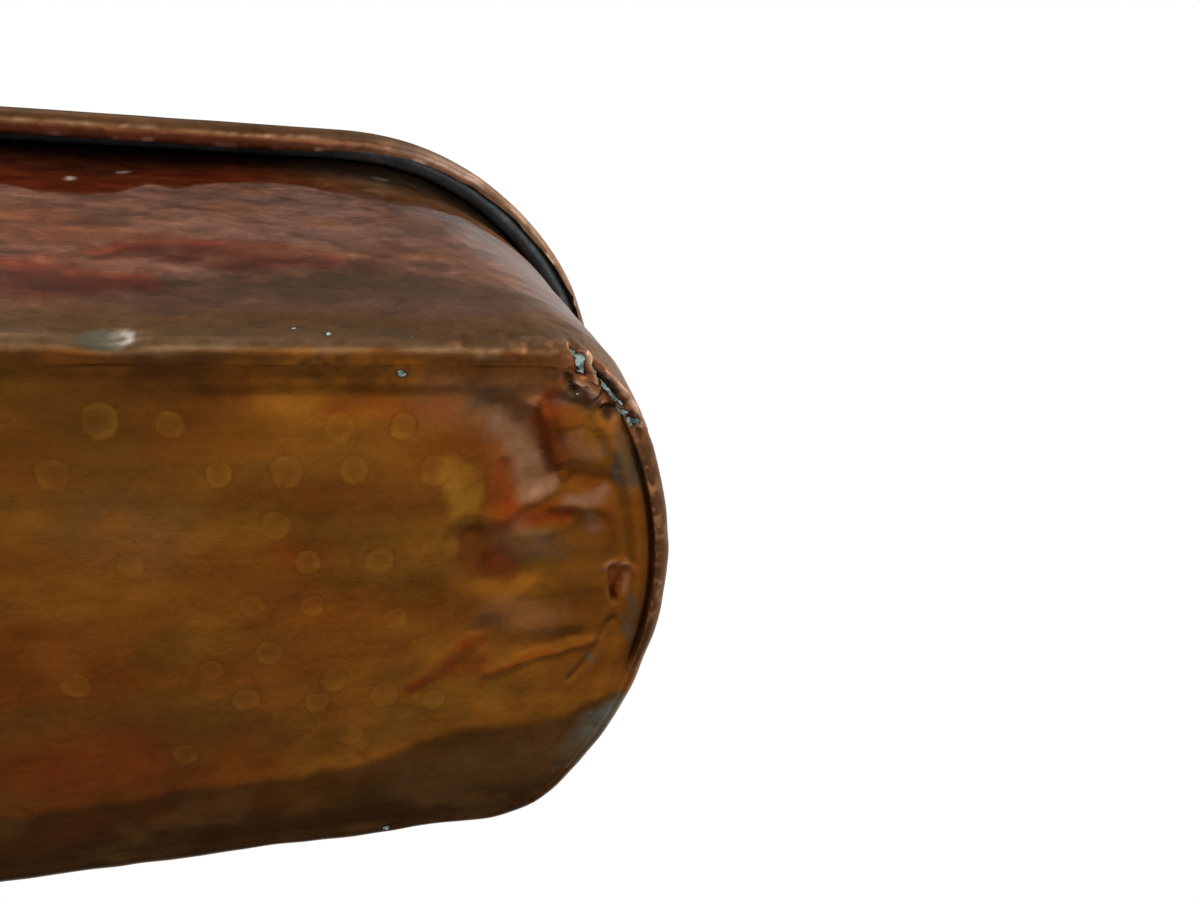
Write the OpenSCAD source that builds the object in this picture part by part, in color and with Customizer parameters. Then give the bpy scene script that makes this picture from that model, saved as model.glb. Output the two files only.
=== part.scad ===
// Copper fish kettle: a long pan of two wall sheets on a seamed base, with a rim
// rolled over an iron wire, a drop handle at each end, a lift-out drainer and a fitted lid.
// Millimetres, +Z up, +X along the kettle, origin at the middle of the underside.

/* [Body] */
// Length of the body, outside the wall
body_len = 560; // [480:1:660]
// Width of the body, outside the wall
body_w = 190; // [170:1:220]
// Height from the ground to the top of the rim
body_h = 144; // [125:1:180]
// Thickness of the wall sheets
wall_t = 1.5; // [1:0.1:2]
// Thickness of the base sheet
base_t = 1.8; // [1.2:0.1:2.4]
// Radius of the broad curve across each end of the base
base_end_r = 150; // [140:1:240]
// Radius of the four corners of the base
corner_r = 34; // [20:1:40]
// Radius of the rounded bottom edge
edge_r = 5; // [4:0.5:7]
// Width of the band round the underside that the kettle stands on
band_w = 9; // [8:0.5:12]
// How far the base lies above that band
base_recess = 1.2; // [0.5:0.1:1.6]
// Height of the base's turned-up lip inside the wall
lip_h = 14; // [11:0.5:18]
// Clearance of the brazed seam between lip and wall
seam_gap = 0.25; // [0.2:0.05:0.4]

/* [Rim] */
// Diameter of the iron rim wire
wire_d = 8; // [5:0.5:10]
// Clearance between the wire and the copper rolled over it
wire_gap = 0.4; // [0.3:0.1:0.6]
// How far below level the roll goes on round the outside of the wire, in degrees
roll_wrap = 45; // [0:15:60]

/* [Drop handles] */
// Height of the handles' pivot
pivot_z = 92; // [80:1:100]
// Distance of the pivot from the end wall
pivot_out = 4.6; // [4.2:0.1:7]
// Distance between the centres of the bail's two arms
bail_w = 62; // [54:1:90]
// Distance from the pivot down to the bail's grip
bail_drop = 38; // [30:1:46]
// Diameter of the bail's rod
bail_d = 6; // [5:0.5:8]
// Radius of the bail's two bends
bail_bend_r = 12; // [9:1:16]
// Diameter of the bail's turned-in pins
pin_d = 4.6; // [3.6:0.2:4.8]
// Clearance round the pins
pin_gap = 0.15; // [0.1:0.05:0.3]
// Outside diameter of the knuckles on the handle plate
knuckle_d = 8.4; // [7.4:0.2:9]
// Length of each knuckle
knuckle_len = 8; // [6:0.5:10]
// Thickness of the handle plate
plate_t = 2.5; // [2:0.1:3]
// Height of the handle plate
plate_h = 24; // [20:1:30]
// Width of the handle plate
plate_w = 92; // [86:1:100]
// Distance from the middle of the plate to its inner rivets
plate_rivet_in = 12; // [9:0.5:13]
// Distance from the middle of the plate to its outer rivets
plate_rivet_out = 39; // [38:0.5:40]
// Clearance between the plate and the wall
plate_gap = 0.1; // [0.05:0.05:0.3]

/* [Rivets] */
// Diameter of the rivet shanks
rivet_d = 4.6; // [3.5:0.1:5]
// Diameter of the rivet heads
rivet_head_d = 8; // [7:0.5:9]
// Height of the domed heads
rivet_head_h = 2.2; // [1.5:0.1:2.5]
// Thickness of the flat heads inside
rivet_flat_h = 1.2; // [0.8:0.1:1.6]
// Clearance round the shanks and under the heads
rivet_gap = 0.15; // [0.1:0.05:0.2]

/* [Drainer] */
// Gap between the drainer and the wall at the mouth
drainer_gap = 8.5; // [6:0.5:14]
// Thickness of the drainer sheet
drainer_t = 1.5; // [1:0.1:2]
// Depth of the drainer's turned-down edge
drainer_edge_h = 6; // [4:0.5:8]
// Height of the drainer's feet
foot_h = 12; // [8:0.5:20]
// Diameter of the drainer's feet
foot_d = 14; // [10:1:18]
// Distance of the feet from the drainer's end
foot_in = 75; // [55:1:120]
// Distance of the feet from the middle, across the kettle
foot_y = 65; // [64:0.5:66]
// Diameter of the drain holes
hole_d = 10; // [6:0.5:13]
// Distance between the drain holes
hole_pitch = 26; // [24:0.5:28]
// Rows of drain holes
hole_rows = 5; // [3:2:5]
// Diameter of the lifting handles' rod
lift_d = 6; // [5:0.5:7]
// Width of the lifting handles, between the legs' centres
lift_w = 60; // [50:1:70]
// Distance of the lifting handles from the drainer's end
lift_in = 32; // [28:1:42]
// Gap between the top of the lifting handles and the lid's collar
lift_gap = 8; // [5:1:30]
// Radius of the lifting handles' bends
lift_bend_r = 14; // [10:1:18]
// Diameter of the lifting handles' collars and peened ends
lift_collar_d = 11; // [10:0.5:12]
// Thickness of the lifting handles' collars and peened ends
lift_collar_h = 2; // [1.5:0.1:3]

/* [Lid] */
// Thickness of the lid sheet
lid_t = 1.2; // [0.8:0.1:2]
// Overhang of the lid's flange past the kettle's wall
lid_overhang = 3.5; // [2:0.5:5]
// Gap between the lid's flange and the rim
lid_gap = 0.3; // [0.2:0.1:0.6]
// Rise of the lid's panel above its flange
lid_rise = 15; // [8:0.5:24]
// Width of the flat along the lid's crown
lid_flat_w = 60; // [56:1:80]
// Width of the lid's flange
lid_flange_w = 12; // [9:0.5:16]
// Depth of the lid's collar inside the mouth
collar_h = 16; // [10:0.5:18]
// Clearance between the lid's collar and the mouth
collar_gap = 0.9; // [0.6:0.1:1.6]
// Diameter of the lid handle's rod
lid_grip_d = 9; // [7:0.5:11]
// Length of the lid handle, between its legs' centres
lid_grip_len = 110; // [90:1:140]
// Height of the lid handle's rod above the lid
lid_grip_h = 36; // [30:1:44]
// Radius of the lid handle's bends
lid_grip_bend_r = 16; // [12:1:20]
// Length of the lid handle's palms
palm_len = 34; // [30:1:40]
// Width of the lid handle's palms
palm_w = 20; // [16:1:24]
// Thickness of the lid handle's palms
palm_t = 3; // [2:0.5:4]
// Distance from a leg to its palm's rivets
palm_rivet_out = 17; // [14:0.5:19]

/* [Hidden] */
$fn = 96;
copper = [0.50, 0.27, 0.12];
iron = [0.13, 0.13, 0.14];
tin = [0.62, 0.60, 0.56];

half_len = body_len / 2;
half_w = body_w / 2;

// The base's outline: corner arcs run tangent into one broad arc across each end
end_cx = half_len - base_end_r;
corner_cx = end_cx + sqrt(pow(base_end_r - corner_r, 2) - pow(half_w - corner_r, 2));
corner_cy = half_w - corner_r;
end_turn = asin(corner_cy / (base_end_r - corner_r));
corner_turn = 90 - end_turn;

// The mouth's outline: straight sides and half-round ends
mouth_cx = half_len - half_w;

// Rim
wire_r = wire_d / 2;
roll_in_r = wire_r + wire_gap;
roll_r = roll_in_r + wall_t;
rim_z = body_h - roll_r;
wire_out = roll_in_r;

// The wall is upright beside the lip and beside the rim, and changes outline between
wall_z0 = edge_r;
loft_margin = 3;
loft_z0 = lip_h + loft_margin;
loft_z1 = body_h - collar_h - loft_margin;
turn_step = 5;
roll_step = 15;

base_top = base_recess + base_t;

function blend(a, b, w) = a * (1 - w) + b * w;
function loft_w(z) = max(0, min(1, (z - loft_z0) / (loft_z1 - loft_z0)));
function end_r(z) = blend(base_end_r, half_w, loft_w(z));

// Points of the two outlines by the direction of their outward normal: 0 is the
// front side and 90 the middle of the right end
function base_pt(turn) =
    turn < corner_turn
        ? [corner_cx + corner_r * sin(turn), -corner_cy - corner_r * cos(turn)]
        : [end_cx + base_end_r * sin(turn), -base_end_r * cos(turn)];
function mouth_pt(turn) = [mouth_cx + half_w * sin(turn), -half_w * cos(turn)];

// Stations round the body, as [right or left, front or back, direction of the normal]
turns = [for (t = [0 : turn_step : 90]) t];
front_stations = concat(
    [for (i = [len(turns) - 1 : -1 : 0]) [-1, 1, turns[i]]],
    [for (t = turns) [1, 1, t]]
);
back_stations = [for (i = [len(front_stations) - 2 : -1 : 1]) let (s = front_stations[i]) [s[0], -1, s[2]]];
ring_stations = concat(front_stations, back_stations);
function body_pt(s, out, z) =
    let (p = blend(base_pt(s[2]), mouth_pt(s[2]), loft_w(z)))
    [s[0] * (p[0] + out * sin(s[2])), s[1] * (p[1] - out * cos(s[2])), z];
// Triangles between stations j and k, for the first bands of an n-point section
function skin(n, bands, j, k) = [
    for (i = [0 : bands - 1])
        let (a = j * n + i, b = j * n + (i + 1) % n, c = k * n + i, d = k * n + (i + 1) % n)
        each [[a, b, d], [a, d, c]]
];

// A wall sheet's section, as [distance outside the wall's outer face, height]:
// up the outer face, round the wire, back over the roll and down the inner face
roll_turns = [for (a = [180 : -roll_step : -roll_wrap]) a];
function roll_pt(r, a) = [wire_out + r * cos(a), rim_z + r * sin(a)];
wall_section = concat(
    [[0, wall_z0], [0, loft_z0], [0, loft_z1]],
    [for (a = roll_turns) roll_pt(roll_in_r, a)],
    [for (i = [len(roll_turns) - 1 : -1 : 0]) roll_pt(roll_r, roll_turns[i])],
    [[-wall_t, loft_z1], [-wall_t, loft_z0], [-wall_t, wall_z0]]
);

// The base's section, as [distance in from the outline, height]: out under the band, round
// the edge, up the lip and back over the sheet
lip_out = wall_t + seam_gap;
lip_in = lip_out + base_t;
inner_r = edge_r - base_t;
base_step = base_recess;
edge_turns = [for (a = [0 : roll_step : 90]) a];
base_section = concat(
    [[band_w + base_step, base_recess], [band_w, 0]],
    [for (a = edge_turns) [edge_r - edge_r * sin(a), edge_r - edge_r * cos(a)]],
    [[lip_out, edge_r], [lip_out, lip_h], [lip_in, lip_h]],
    [for (a = edge_turns) [lip_in + inner_r - inner_r * cos(a), base_t + inner_r - inner_r * sin(a)]],
    [[band_w, base_t], [band_w + base_step, base_top]]
);

// Handle plate: an arc that bears on the wall along the plate's lower edge
plate_z0 = pivot_z - plate_h / 2;
plate_r = end_r(plate_z0) + plate_gap;
plate_cx = half_len + plate_gap - plate_r;
plate_span = asin(plate_w / 2 / plate_r);
pivot_x = half_len + pivot_out;
bail_r = bail_d / 2;
pin_r = pin_d / 2;
arm_y = bail_w / 2;
side_play = 0.5;
knuckle_y1 = arm_y - bail_r - side_play;
knuckle_y0 = knuckle_y1 - knuckle_len;
pin_end_y = knuckle_y0 - side_play;
shank_r = rivet_d / 2;
rivet_hole_r = shank_r + rivet_gap;

// Drainer
drainer_r = half_w - wall_t - drainer_gap;
drainer_end = mouth_cx + drainer_r;
foot_x = drainer_end - foot_in;
lift_x = drainer_end - lift_in;
drainer_z = base_top + foot_h;
drainer_top = drainer_z + drainer_t;
foot_pin_r = foot_d / 4;
collar_z0 = body_h + lid_gap - collar_h;
lift_r = lift_d / 2;
lift_z = collar_z0 - lift_gap - lift_r;
hole_span = lift_x - lift_collar_d / 2 - hole_d;
hole_columns = 2 * floor(hole_span / hole_pitch) + 1;

// Lid
lid_z = body_h + lid_gap;
flange_r = half_w + lid_overhang;
panel_r = flange_r - lid_flange_w;
lid_step = lid_rise * 0.4;
lid_step_w = lid_step;
crown_z = lid_z + lid_t + lid_rise;
collar_r = half_w - wall_t - collar_gap;
grip_z = crown_z + lid_grip_h;
grip_r = lid_grip_d / 2;

// Sweeps a section round the mouth's outline. The section's x is the distance from the
// outline's centre line and its y the height.
module along_mouth() {
    for (m = [0, 1]) mirror([m, 0, 0])
        translate([mouth_cx, 0, 0]) rotate([0, 0, -90]) rotate_extrude(angle = 180) children();
    for (m = [0, 1]) mirror([0, m, 0])
        translate([-mouth_cx, 0, 0]) rotate([90, 0, 90]) linear_extrude(2 * mouth_cx) children();
}

// Base: a sheet, a band to stand on, a rounded edge, a ledge for the wall and a lip inside it
module base_plate() {
    n = len(base_section);
    points = [for (s = ring_stations) for (p = base_section) body_pt(s, -p[0], p[1])];
    last = len(ring_stations) - 1;
    sides = [for (j = [0 : last]) each skin(n, n - 1, j, (j + 1) % (last + 1))];
    under = [for (j = [0 : last]) j * n];
    top = [for (j = [last : -1 : 0]) j * n + n - 1];
    color(copper) polyhedron(points, concat(sides, [under, top]));
}

// Front wall sheet, from the middle of the left end to the middle of the right end
module wall_sheet() {
    n = len(wall_section);
    last = len(front_stations) - 1;
    points = [for (s = front_stations) for (p = wall_section) body_pt(s, p[0], p[1])];
    sides = [for (j = [0 : last - 1]) each skin(n, n, j, j + 1)];
    caps = [
        for (i = [0 : n / 2 - 2])
            let (a = i, b = i + 1, c = n - 2 - i, d = n - 1 - i, k = last * n)
            each [[b, a, d], [b, d, c], [k + a, k + b, k + c], [k + a, k + c, k + d]]
    ];
    difference() {
        polyhedron(points, concat(sides, caps));
        for (m = [0, 1]) mirror([m, 0, 0]) at_plate_rivets() plate_rivet_bore();
    }
}

module front_wall_sheet() {
    color(copper) wall_sheet();
}

module back_wall_sheet() {
    color(copper) mirror([0, 1, 0]) wall_sheet();
}

module rim_wire() {
    color(iron) translate([0, 0, rim_z]) along_mouth() translate([half_w + wire_out, 0]) circle(wire_r);
}

// Puts a child at each rivet of the right handle plate, with +X out along the rivet and
// the origin on the plate's back
module at_plate_rivets() {
    for (y = [-plate_rivet_out, -plate_rivet_in, plate_rivet_in, plate_rivet_out])
        translate([plate_cx, 0, pivot_z]) rotate([0, 0, asin(y / plate_r)])
            translate([plate_r, 0, 0]) children();
}

// Hole for a plate rivet, through plate and wall
module plate_rivet_bore() {
    bore_len = 4 * (plate_t + wall_t);
    rotate([0, 90, 0]) cylinder(r = rivet_hole_r, h = bore_len, center = true);
}

module rivet_dome() {
    dome_r = (pow(rivet_head_d / 2, 2) + pow(rivet_head_h, 2)) / (2 * rivet_head_h);
    intersection() {
        translate([0, 0, rivet_head_h - dome_r]) sphere(dome_r);
        cylinder(d = rivet_head_d, h = rivet_head_h);
    }
}

// A rivet along +Z that clamps the sheets between z = 0 and z = grip
module rivet(grip) {
    translate([0, 0, grip + rivet_gap]) rivet_dome();
    translate([0, 0, -rivet_gap]) cylinder(r = shank_r, h = grip + 2 * rivet_gap);
    translate([0, 0, -rivet_gap - rivet_flat_h]) cylinder(d = rivet_head_d, h = rivet_flat_h);
}

// Right handle plate with its two knuckles
module handle_plate() {
    knuckle_r = knuckle_d / 2;
    difference() {
        union() {
            translate([plate_cx, 0, plate_z0]) rotate([0, 0, -plate_span])
                rotate_extrude(angle = 2 * plate_span)
                    translate([plate_r, 0]) square([plate_t, plate_h]);
            for (m = [0, 1]) mirror([0, m, 0]) {
                translate([pivot_x, knuckle_y1, pivot_z]) rotate([90, 0, 0])
                    cylinder(r = knuckle_r, h = knuckle_len);
                difference() {
                    translate([plate_cx, knuckle_y0, pivot_z - knuckle_r])
                        cube([pivot_x - plate_cx, knuckle_len, knuckle_d]);
                    translate([plate_cx, 0, 0]) cylinder(r = plate_r + plate_t / 2, h = body_h);
                }
            }
        }
        translate([pivot_x, 0, pivot_z]) rotate([90, 0, 0])
            cylinder(r = pin_r + pin_gap, h = 2 * arm_y, center = true);
        at_plate_rivets() plate_rivet_bore();
    }
}

// Right plate's rivets: domed on the plate, flat inside the wall. The outer ones reach a
// little further in, where the wall leans away from the plate. Each flat head stands clear
// of the wall's curve across it.
module handle_rivets() {
    wall_lean = end_r(plate_z0) - end_r(pivot_z + rivet_head_d / 2);
    facet_dip = end_r(pivot_z) * (1 - cos(turn_step / 2));
    head_dip = pow(rivet_head_d / 2, 2) / (2 * end_r(pivot_z));
    seat = wall_t + facet_dip + head_dip;
    for (y = [-plate_rivet_out, -plate_rivet_in, plate_rivet_in, plate_rivet_out])
        let (away = asin(y / plate_r), reach = seat + wall_lean * (1 - cos(away)))
        translate([plate_cx, 0, pivot_z]) rotate([0, 0, away])
            translate([plate_r - reach, 0, 0]) rotate([0, 90, 0]) rivet(plate_t + reach);
}

// Right bail, hanging from its pins
module bail() {
    for (m = [0, 1]) mirror([0, m, 0]) {
        translate([pivot_x, arm_y, pivot_z]) rotate([90, 0, 0]) cylinder(r = pin_r, h = arm_y - pin_end_y);
        translate([pivot_x, arm_y, pivot_z]) sphere(bail_r);
        translate([pivot_x, arm_y, pivot_z - bail_drop + bail_bend_r])
            cylinder(r = bail_r, h = bail_drop - bail_bend_r);
        translate([pivot_x, arm_y - bail_bend_r, pivot_z - bail_drop + bail_bend_r])
            rotate([0, 90, 0]) rotate_extrude(angle = 90) translate([bail_bend_r, 0]) circle(bail_r);
    }
    translate([pivot_x, arm_y - bail_bend_r, pivot_z - bail_drop]) rotate([90, 0, 0])
        cylinder(r = bail_r, h = 2 * (arm_y - bail_bend_r));
}

module right_handle_plate() {
    color(iron) handle_plate();
}

module left_handle_plate() {
    color(iron) mirror([1, 0, 0]) handle_plate();
}

module right_handle_rivets() {
    color(copper) handle_rivets();
}

module left_handle_rivets() {
    color(copper) mirror([1, 0, 0]) handle_rivets();
}

module right_bail() {
    color(iron) bail();
}

module left_bail() {
    color(iron) mirror([1, 0, 0]) bail();
}

module at_feet() {
    for (x = [-foot_x, foot_x]) for (y = [-foot_y, foot_y]) translate([x, y, 0]) children();
}

module at_lifting_legs() {
    for (m = [0, 1]) mirror([m, 0, 0]) for (n = [0, 1]) mirror([0, n, 0])
        translate([lift_x, lift_w / 2, 0]) children();
}

// Drainer: a pierced tray
module drainer_plate() {
    color(tin) difference() {
        union() {
            translate([0, 0, drainer_z]) along_mouth() square([drainer_r, drainer_t]);
            translate([0, 0, drainer_top - drainer_edge_h]) along_mouth()
                translate([drainer_r - drainer_t, 0]) square([drainer_t, drainer_edge_h]);
        }
        translate([0, 0, drainer_z - drainer_t]) {
            for (i = [0 : hole_columns - 1]) for (j = [0 : hole_rows - 1])
                let (x = (i - (hole_columns - 1) / 2) * hole_pitch, y = (j - (hole_rows - 1) / 2) * hole_pitch)
                translate([x, y, 0]) cylinder(d = hole_d, h = 3 * drainer_t);
            at_feet() cylinder(r = foot_pin_r + rivet_gap, h = 3 * drainer_t);
            at_lifting_legs() cylinder(r = lift_r + rivet_gap, h = 3 * drainer_t);
        }
    }
}

// Turned feet with a tenon through the tray and a peened head on top
module drainer_feet() {
    color(tin) at_feet() {
        translate([0, 0, base_top]) cylinder(d = foot_d, h = foot_h - rivet_gap);
        translate([0, 0, base_top]) cylinder(r = foot_pin_r, h = foot_h + drainer_t + 2 * rivet_gap);
        translate([0, 0, drainer_top + rivet_gap]) cylinder(d = foot_d * 0.7, h = lift_collar_h);
    }
}

// Right lifting handle: a bent rod with collars on the tray and peened ends under it
module lifting_handle() {
    for (n = [0, 1]) mirror([0, n, 0]) translate([lift_x, lift_w / 2, 0]) {
        translate([0, 0, drainer_top + rivet_gap]) cylinder(d = lift_collar_d, h = lift_collar_h);
        translate([0, 0, drainer_z - rivet_gap - lift_collar_h]) cylinder(d = lift_collar_d, h = lift_collar_h);
        translate([0, 0, drainer_z - rivet_gap]) cylinder(r = lift_r, h = lift_z - lift_bend_r - drainer_z + rivet_gap);
        translate([0, -lift_bend_r, lift_z - lift_bend_r]) rotate([0, -90, 0])
            rotate_extrude(angle = 90) translate([lift_bend_r, 0]) circle(lift_r);
    }
    translate([lift_x, lift_w / 2 - lift_bend_r, lift_z]) rotate([90, 0, 0])
        cylinder(r = lift_r, h = lift_w - 2 * lift_bend_r);
}

module right_lifting_handle() {
    color(tin) lifting_handle();
}

module left_lifting_handle() {
    color(tin) mirror([1, 0, 0]) lifting_handle();
}

module at_palm_rivets() {
    for (m = [0, 1]) mirror([m, 0, 0])
        translate([lid_grip_len / 2 + palm_rivet_out, 0, 0]) children();
}

// Lid: flange on the rim, a step, a sloping shoulder and a flat crown
module lid_section() {
    top = [
        [flange_r, lid_z + lid_t], [panel_r, lid_z + lid_t],
        [panel_r - lid_step_w, lid_z + lid_t + lid_step], [lid_flat_w / 2, crown_z], [0, crown_z]
    ];
    under = [for (i = [len(top) - 1 : -1 : 0]) top[i] - [0, lid_t]];
    polygon(concat(top, under));
}

module lid_panel() {
    color(copper) difference() {
        along_mouth() lid_section();
        at_palm_rivets() translate([0, 0, crown_z - 2 * lid_t]) cylinder(r = rivet_hole_r, h = 4 * lid_t);
    }
}

module lid_collar() {
    color(copper) along_mouth() translate([collar_r - lid_t, collar_z0]) square([lid_t, collar_h]);
}

// Lid handle: an arched rod with a flat palm at each foot
module lid_handle() {
    color(iron) difference() {
        union() {
            for (m = [0, 1]) mirror([m, 0, 0]) translate([lid_grip_len / 2, 0, crown_z]) {
                cylinder(r = grip_r, h = lid_grip_h - lid_grip_bend_r);
                translate([-lid_grip_bend_r, 0, lid_grip_h - lid_grip_bend_r]) rotate([90, 0, 0])
                    rotate_extrude(angle = 90) translate([lid_grip_bend_r, 0]) circle(grip_r);
                translate([-grip_r, -palm_w / 2, 0]) cube([palm_len - palm_w / 2, palm_w, palm_t]);
                translate([palm_len - palm_w / 2 - grip_r, 0, 0]) cylinder(d = palm_w, h = palm_t);
            }
            translate([-lid_grip_len / 2 + lid_grip_bend_r, 0, grip_z]) rotate([0, 90, 0])
                cylinder(r = grip_r, h = lid_grip_len - 2 * lid_grip_bend_r);
        }
        at_palm_rivets() translate([0, 0, crown_z - palm_t]) cylinder(r = rivet_hole_r, h = 3 * palm_t);
    }
}

module lid_handle_rivets() {
    color(copper) at_palm_rivets() translate([0, 0, crown_z - lid_t]) rivet(palm_t + lid_t);
}

front_wall_sheet();
back_wall_sheet();
base_plate();
rim_wire();
right_handle_plate();
left_handle_plate();
right_handle_rivets();
left_handle_rivets();
right_bail();
left_bail();
drainer_plate();
drainer_feet();
right_lifting_handle();
left_lifting_handle();
lid_panel();
lid_collar();
lid_handle();
lid_handle_rivets();
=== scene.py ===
import itertools
import math

import bmesh
import bpy
import numpy as np
from mathutils import Matrix, Vector


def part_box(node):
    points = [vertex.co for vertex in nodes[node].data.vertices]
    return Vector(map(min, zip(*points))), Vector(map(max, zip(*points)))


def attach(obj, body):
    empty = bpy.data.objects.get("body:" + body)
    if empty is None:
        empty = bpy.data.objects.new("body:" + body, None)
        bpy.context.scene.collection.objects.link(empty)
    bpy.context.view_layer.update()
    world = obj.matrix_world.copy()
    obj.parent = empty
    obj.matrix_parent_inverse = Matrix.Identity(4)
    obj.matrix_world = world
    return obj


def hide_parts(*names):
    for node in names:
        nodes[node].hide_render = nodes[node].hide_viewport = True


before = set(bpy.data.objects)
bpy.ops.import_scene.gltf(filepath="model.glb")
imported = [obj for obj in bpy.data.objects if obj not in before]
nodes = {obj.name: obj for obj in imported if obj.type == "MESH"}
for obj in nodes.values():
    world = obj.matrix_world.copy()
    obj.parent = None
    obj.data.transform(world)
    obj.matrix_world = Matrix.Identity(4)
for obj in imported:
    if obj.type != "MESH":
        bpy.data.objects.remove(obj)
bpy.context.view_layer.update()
scene = bpy.context.scene
scene.view_settings.view_transform = "Standard"
mm = 0.001

# Camera, below the kettle's right end and looking up at its base
cameraPlace = {
    "place": (0.17028, -0.20951, -0.21748),
    "heading": 28.383,  # degrees to the right of +Y
    "pitch": 52.665,    # degrees above level
    "roll": -24.522,
    "lens": 30.0,
    "sensor": 36.0,
    "clip": (0.01, 50),
}


def makeCamera(look):
    heading, pitch, roll = (math.radians(look[k]) for k in ("heading", "pitch", "roll"))
    flatPart = math.cos(pitch)
    ahead = Vector((math.sin(heading) * flatPart, math.cos(heading) * flatPart, math.sin(pitch)))
    level = Vector((math.cos(heading), -math.sin(heading), 0))
    over = level.cross(ahead)
    right = level * math.cos(roll) + over * math.sin(roll)
    up = right.cross(ahead)
    data = bpy.data.cameras.new("photoCamera")
    data.lens, data.sensor_width = look["lens"], look["sensor"]
    data.clip_start, data.clip_end = look["clip"]
    camera = bpy.data.objects.new("photoCamera", data)
    scene.collection.objects.link(camera)
    turn = Matrix((right, up, -ahead)).transposed().to_4x4()
    camera.matrix_world = Matrix.Translation(look["place"]) @ turn
    scene.camera = camera


makeCamera(cameraPlace)
print("camera placed")


# Node helpers for the finishes
def fillSocket(tree, socket, value):
    if isinstance(value, bpy.types.NodeSocket):
        tree.links.new(value, socket)
    else:
        socket.default_value = value


def newMaterial(name, settings):
    material = bpy.data.materials.new(name)
    material.use_nodes = True
    tree = material.node_tree
    tree.nodes.clear()
    output = tree.nodes.new("ShaderNodeOutputMaterial")
    shader = tree.nodes.new("ShaderNodeBsdfPrincipled")
    tree.links.new(shader.outputs[0], output.inputs[0])
    for key, value in settings.items():
        shader.inputs[key].default_value = value
    return material, tree, shader


def addNode(tree, kind, settings=None, **sockets):
    # sockets go by name, or by number as n0, n1 and so on
    node = tree.nodes.new(kind)
    for key, value in (settings or {}).items():
        setattr(node, key, value)
    for key, value in sockets.items():
        numbered = key[0] == "n" and key[1:].isdigit()
        fillSocket(tree, node.inputs[int(key[1:]) if numbered else key], value)
    return node


def noiseOf(tree, place, scale, detail=3.0, rough=0.55, warp=0.0):
    node = addNode(tree, "ShaderNodeTexNoise", Vector=place, Scale=scale, Detail=detail, Roughness=rough,
                   Distortion=warp)
    return node.outputs["Fac"]


def rampOf(tree, value, stops):
    node = addNode(tree, "ShaderNodeValToRGB", n0=value)
    ramp = node.color_ramp
    while len(ramp.elements) < len(stops):
        ramp.elements.new(0.5)
    for element, (at, tone) in zip(ramp.elements, stops):
        element.position = at
        element.color = (tone, tone, tone, 1) if isinstance(tone, (int, float)) else (*tone, 1)
    return node.outputs["Color"]


def mathOf(tree, action, a, b=0.0, clamp=False):
    return addNode(tree, "ShaderNodeMath", {"operation": action, "use_clamp": clamp}, n0=a, n1=b).outputs[0]


def vectorOf(tree, action, a, output=0, **sockets):
    return addNode(tree, "ShaderNodeVectorMath", {"operation": action}, n0=a, **sockets).outputs[output]


def weighed(tree, *parts):
    # the sum of values, each times its weight
    total = 0.0
    for value, weight in parts:
        total = mathOf(tree, "ADD", total, mathOf(tree, "MULTIPLY", value, weight))
    return total


def mixOf(tree, share, a, b, blend="MIX"):
    node = tree.nodes.new("ShaderNodeMix")
    node.data_type, node.blend_type = "RGBA", blend
    for at, value in ((0, share), (6, a), (7, b)):
        fillSocket(tree, node.inputs[at], (*value, 1) if isinstance(value, tuple) else value)
    return node.outputs[2]


def shaded(tree, tone, value, stops, share=1.0):
    # a tone made darker and lighter by a value
    return mixOf(tree, share, tone, rampOf(tree, value, stops), "MULTIPLY")


def setFinish(tree, shader, tone, metal, rough, height, bump):
    for key, value in (("Base Color", tone), ("Metallic", metal), ("Roughness", rough)):
        fillSocket(tree, shader.inputs[key], value)
    node = addNode(tree, "ShaderNodeBump", Height=height, Strength=bump[0], Distance=bump[1])
    tree.links.new(node.outputs[0], shader.inputs["Normal"])


def attributeOf(tree, name, output="Fac"):
    return addNode(tree, "ShaderNodeAttribute", {"attribute_name": name}).outputs[output]


def objectPlace(tree, scale=None):
    place = tree.nodes.new("ShaderNodeTexCoord").outputs["Object"]
    if scale is None:
        return place
    return addNode(tree, "ShaderNodeMapping", Vector=place, Scale=scale).outputs[0]


def linear(*seen):
    # a colour as seen on screen, 0 to 255, to the value that a shader takes
    return tuple((v / 255 / 12.92) if v < 10.3 else ((v / 255 + 0.055) / 1.055) ** 2.4 for v in seen)


def grey(tone):
    return (tone, tone, tone, 1)


# Stage: white all round, a floor that is clear from below and fades out, soft lamps, and two dark boards
# that only the metal reflects
stage = {
    "fillTone": 0.8, "floorTone": 0.97, "floorRough": 0.9, "floorShine": 0.1,
    "floorSize": 8.0, "floorDrop": 0.3 * mm, "fadeFrom": 0.6, "fadeTo": 2.4,
}
lamps = {
    "key": {"place": (-0.9, -1.6, 1.5), "aim": (0.1, 0, 0.08), "size": 1.1, "watts": 8.0},
    "fill": {"place": (1.8, -0.5, 0.9), "aim": (0.1, 0, 0.08), "size": 1.0, "watts": 4.0},
    "back": {"place": (0.4, 1.7, 1.3), "aim": (0, 0, 0.08), "size": 1.0, "watts": 8.0},
    "under": {"place": (0.2, -1.2, -0.75), "aim": (0.2, -0.02, 0), "size": 0.7, "watts": 5.0},
}
boards = {
    "rearBoard": {"place": (0.2, 1.7, -0.95), "aim": (0.2, 0, -0.2), "wide": 3.4, "high": 1.6, "tone": 0.22},
    "topBoard": {"place": (-0.3, -0.1, 1.8), "aim": (-0.3, -0.1, 0), "wide": 2.0, "high": 1.6, "tone": 0.35},
}


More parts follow.
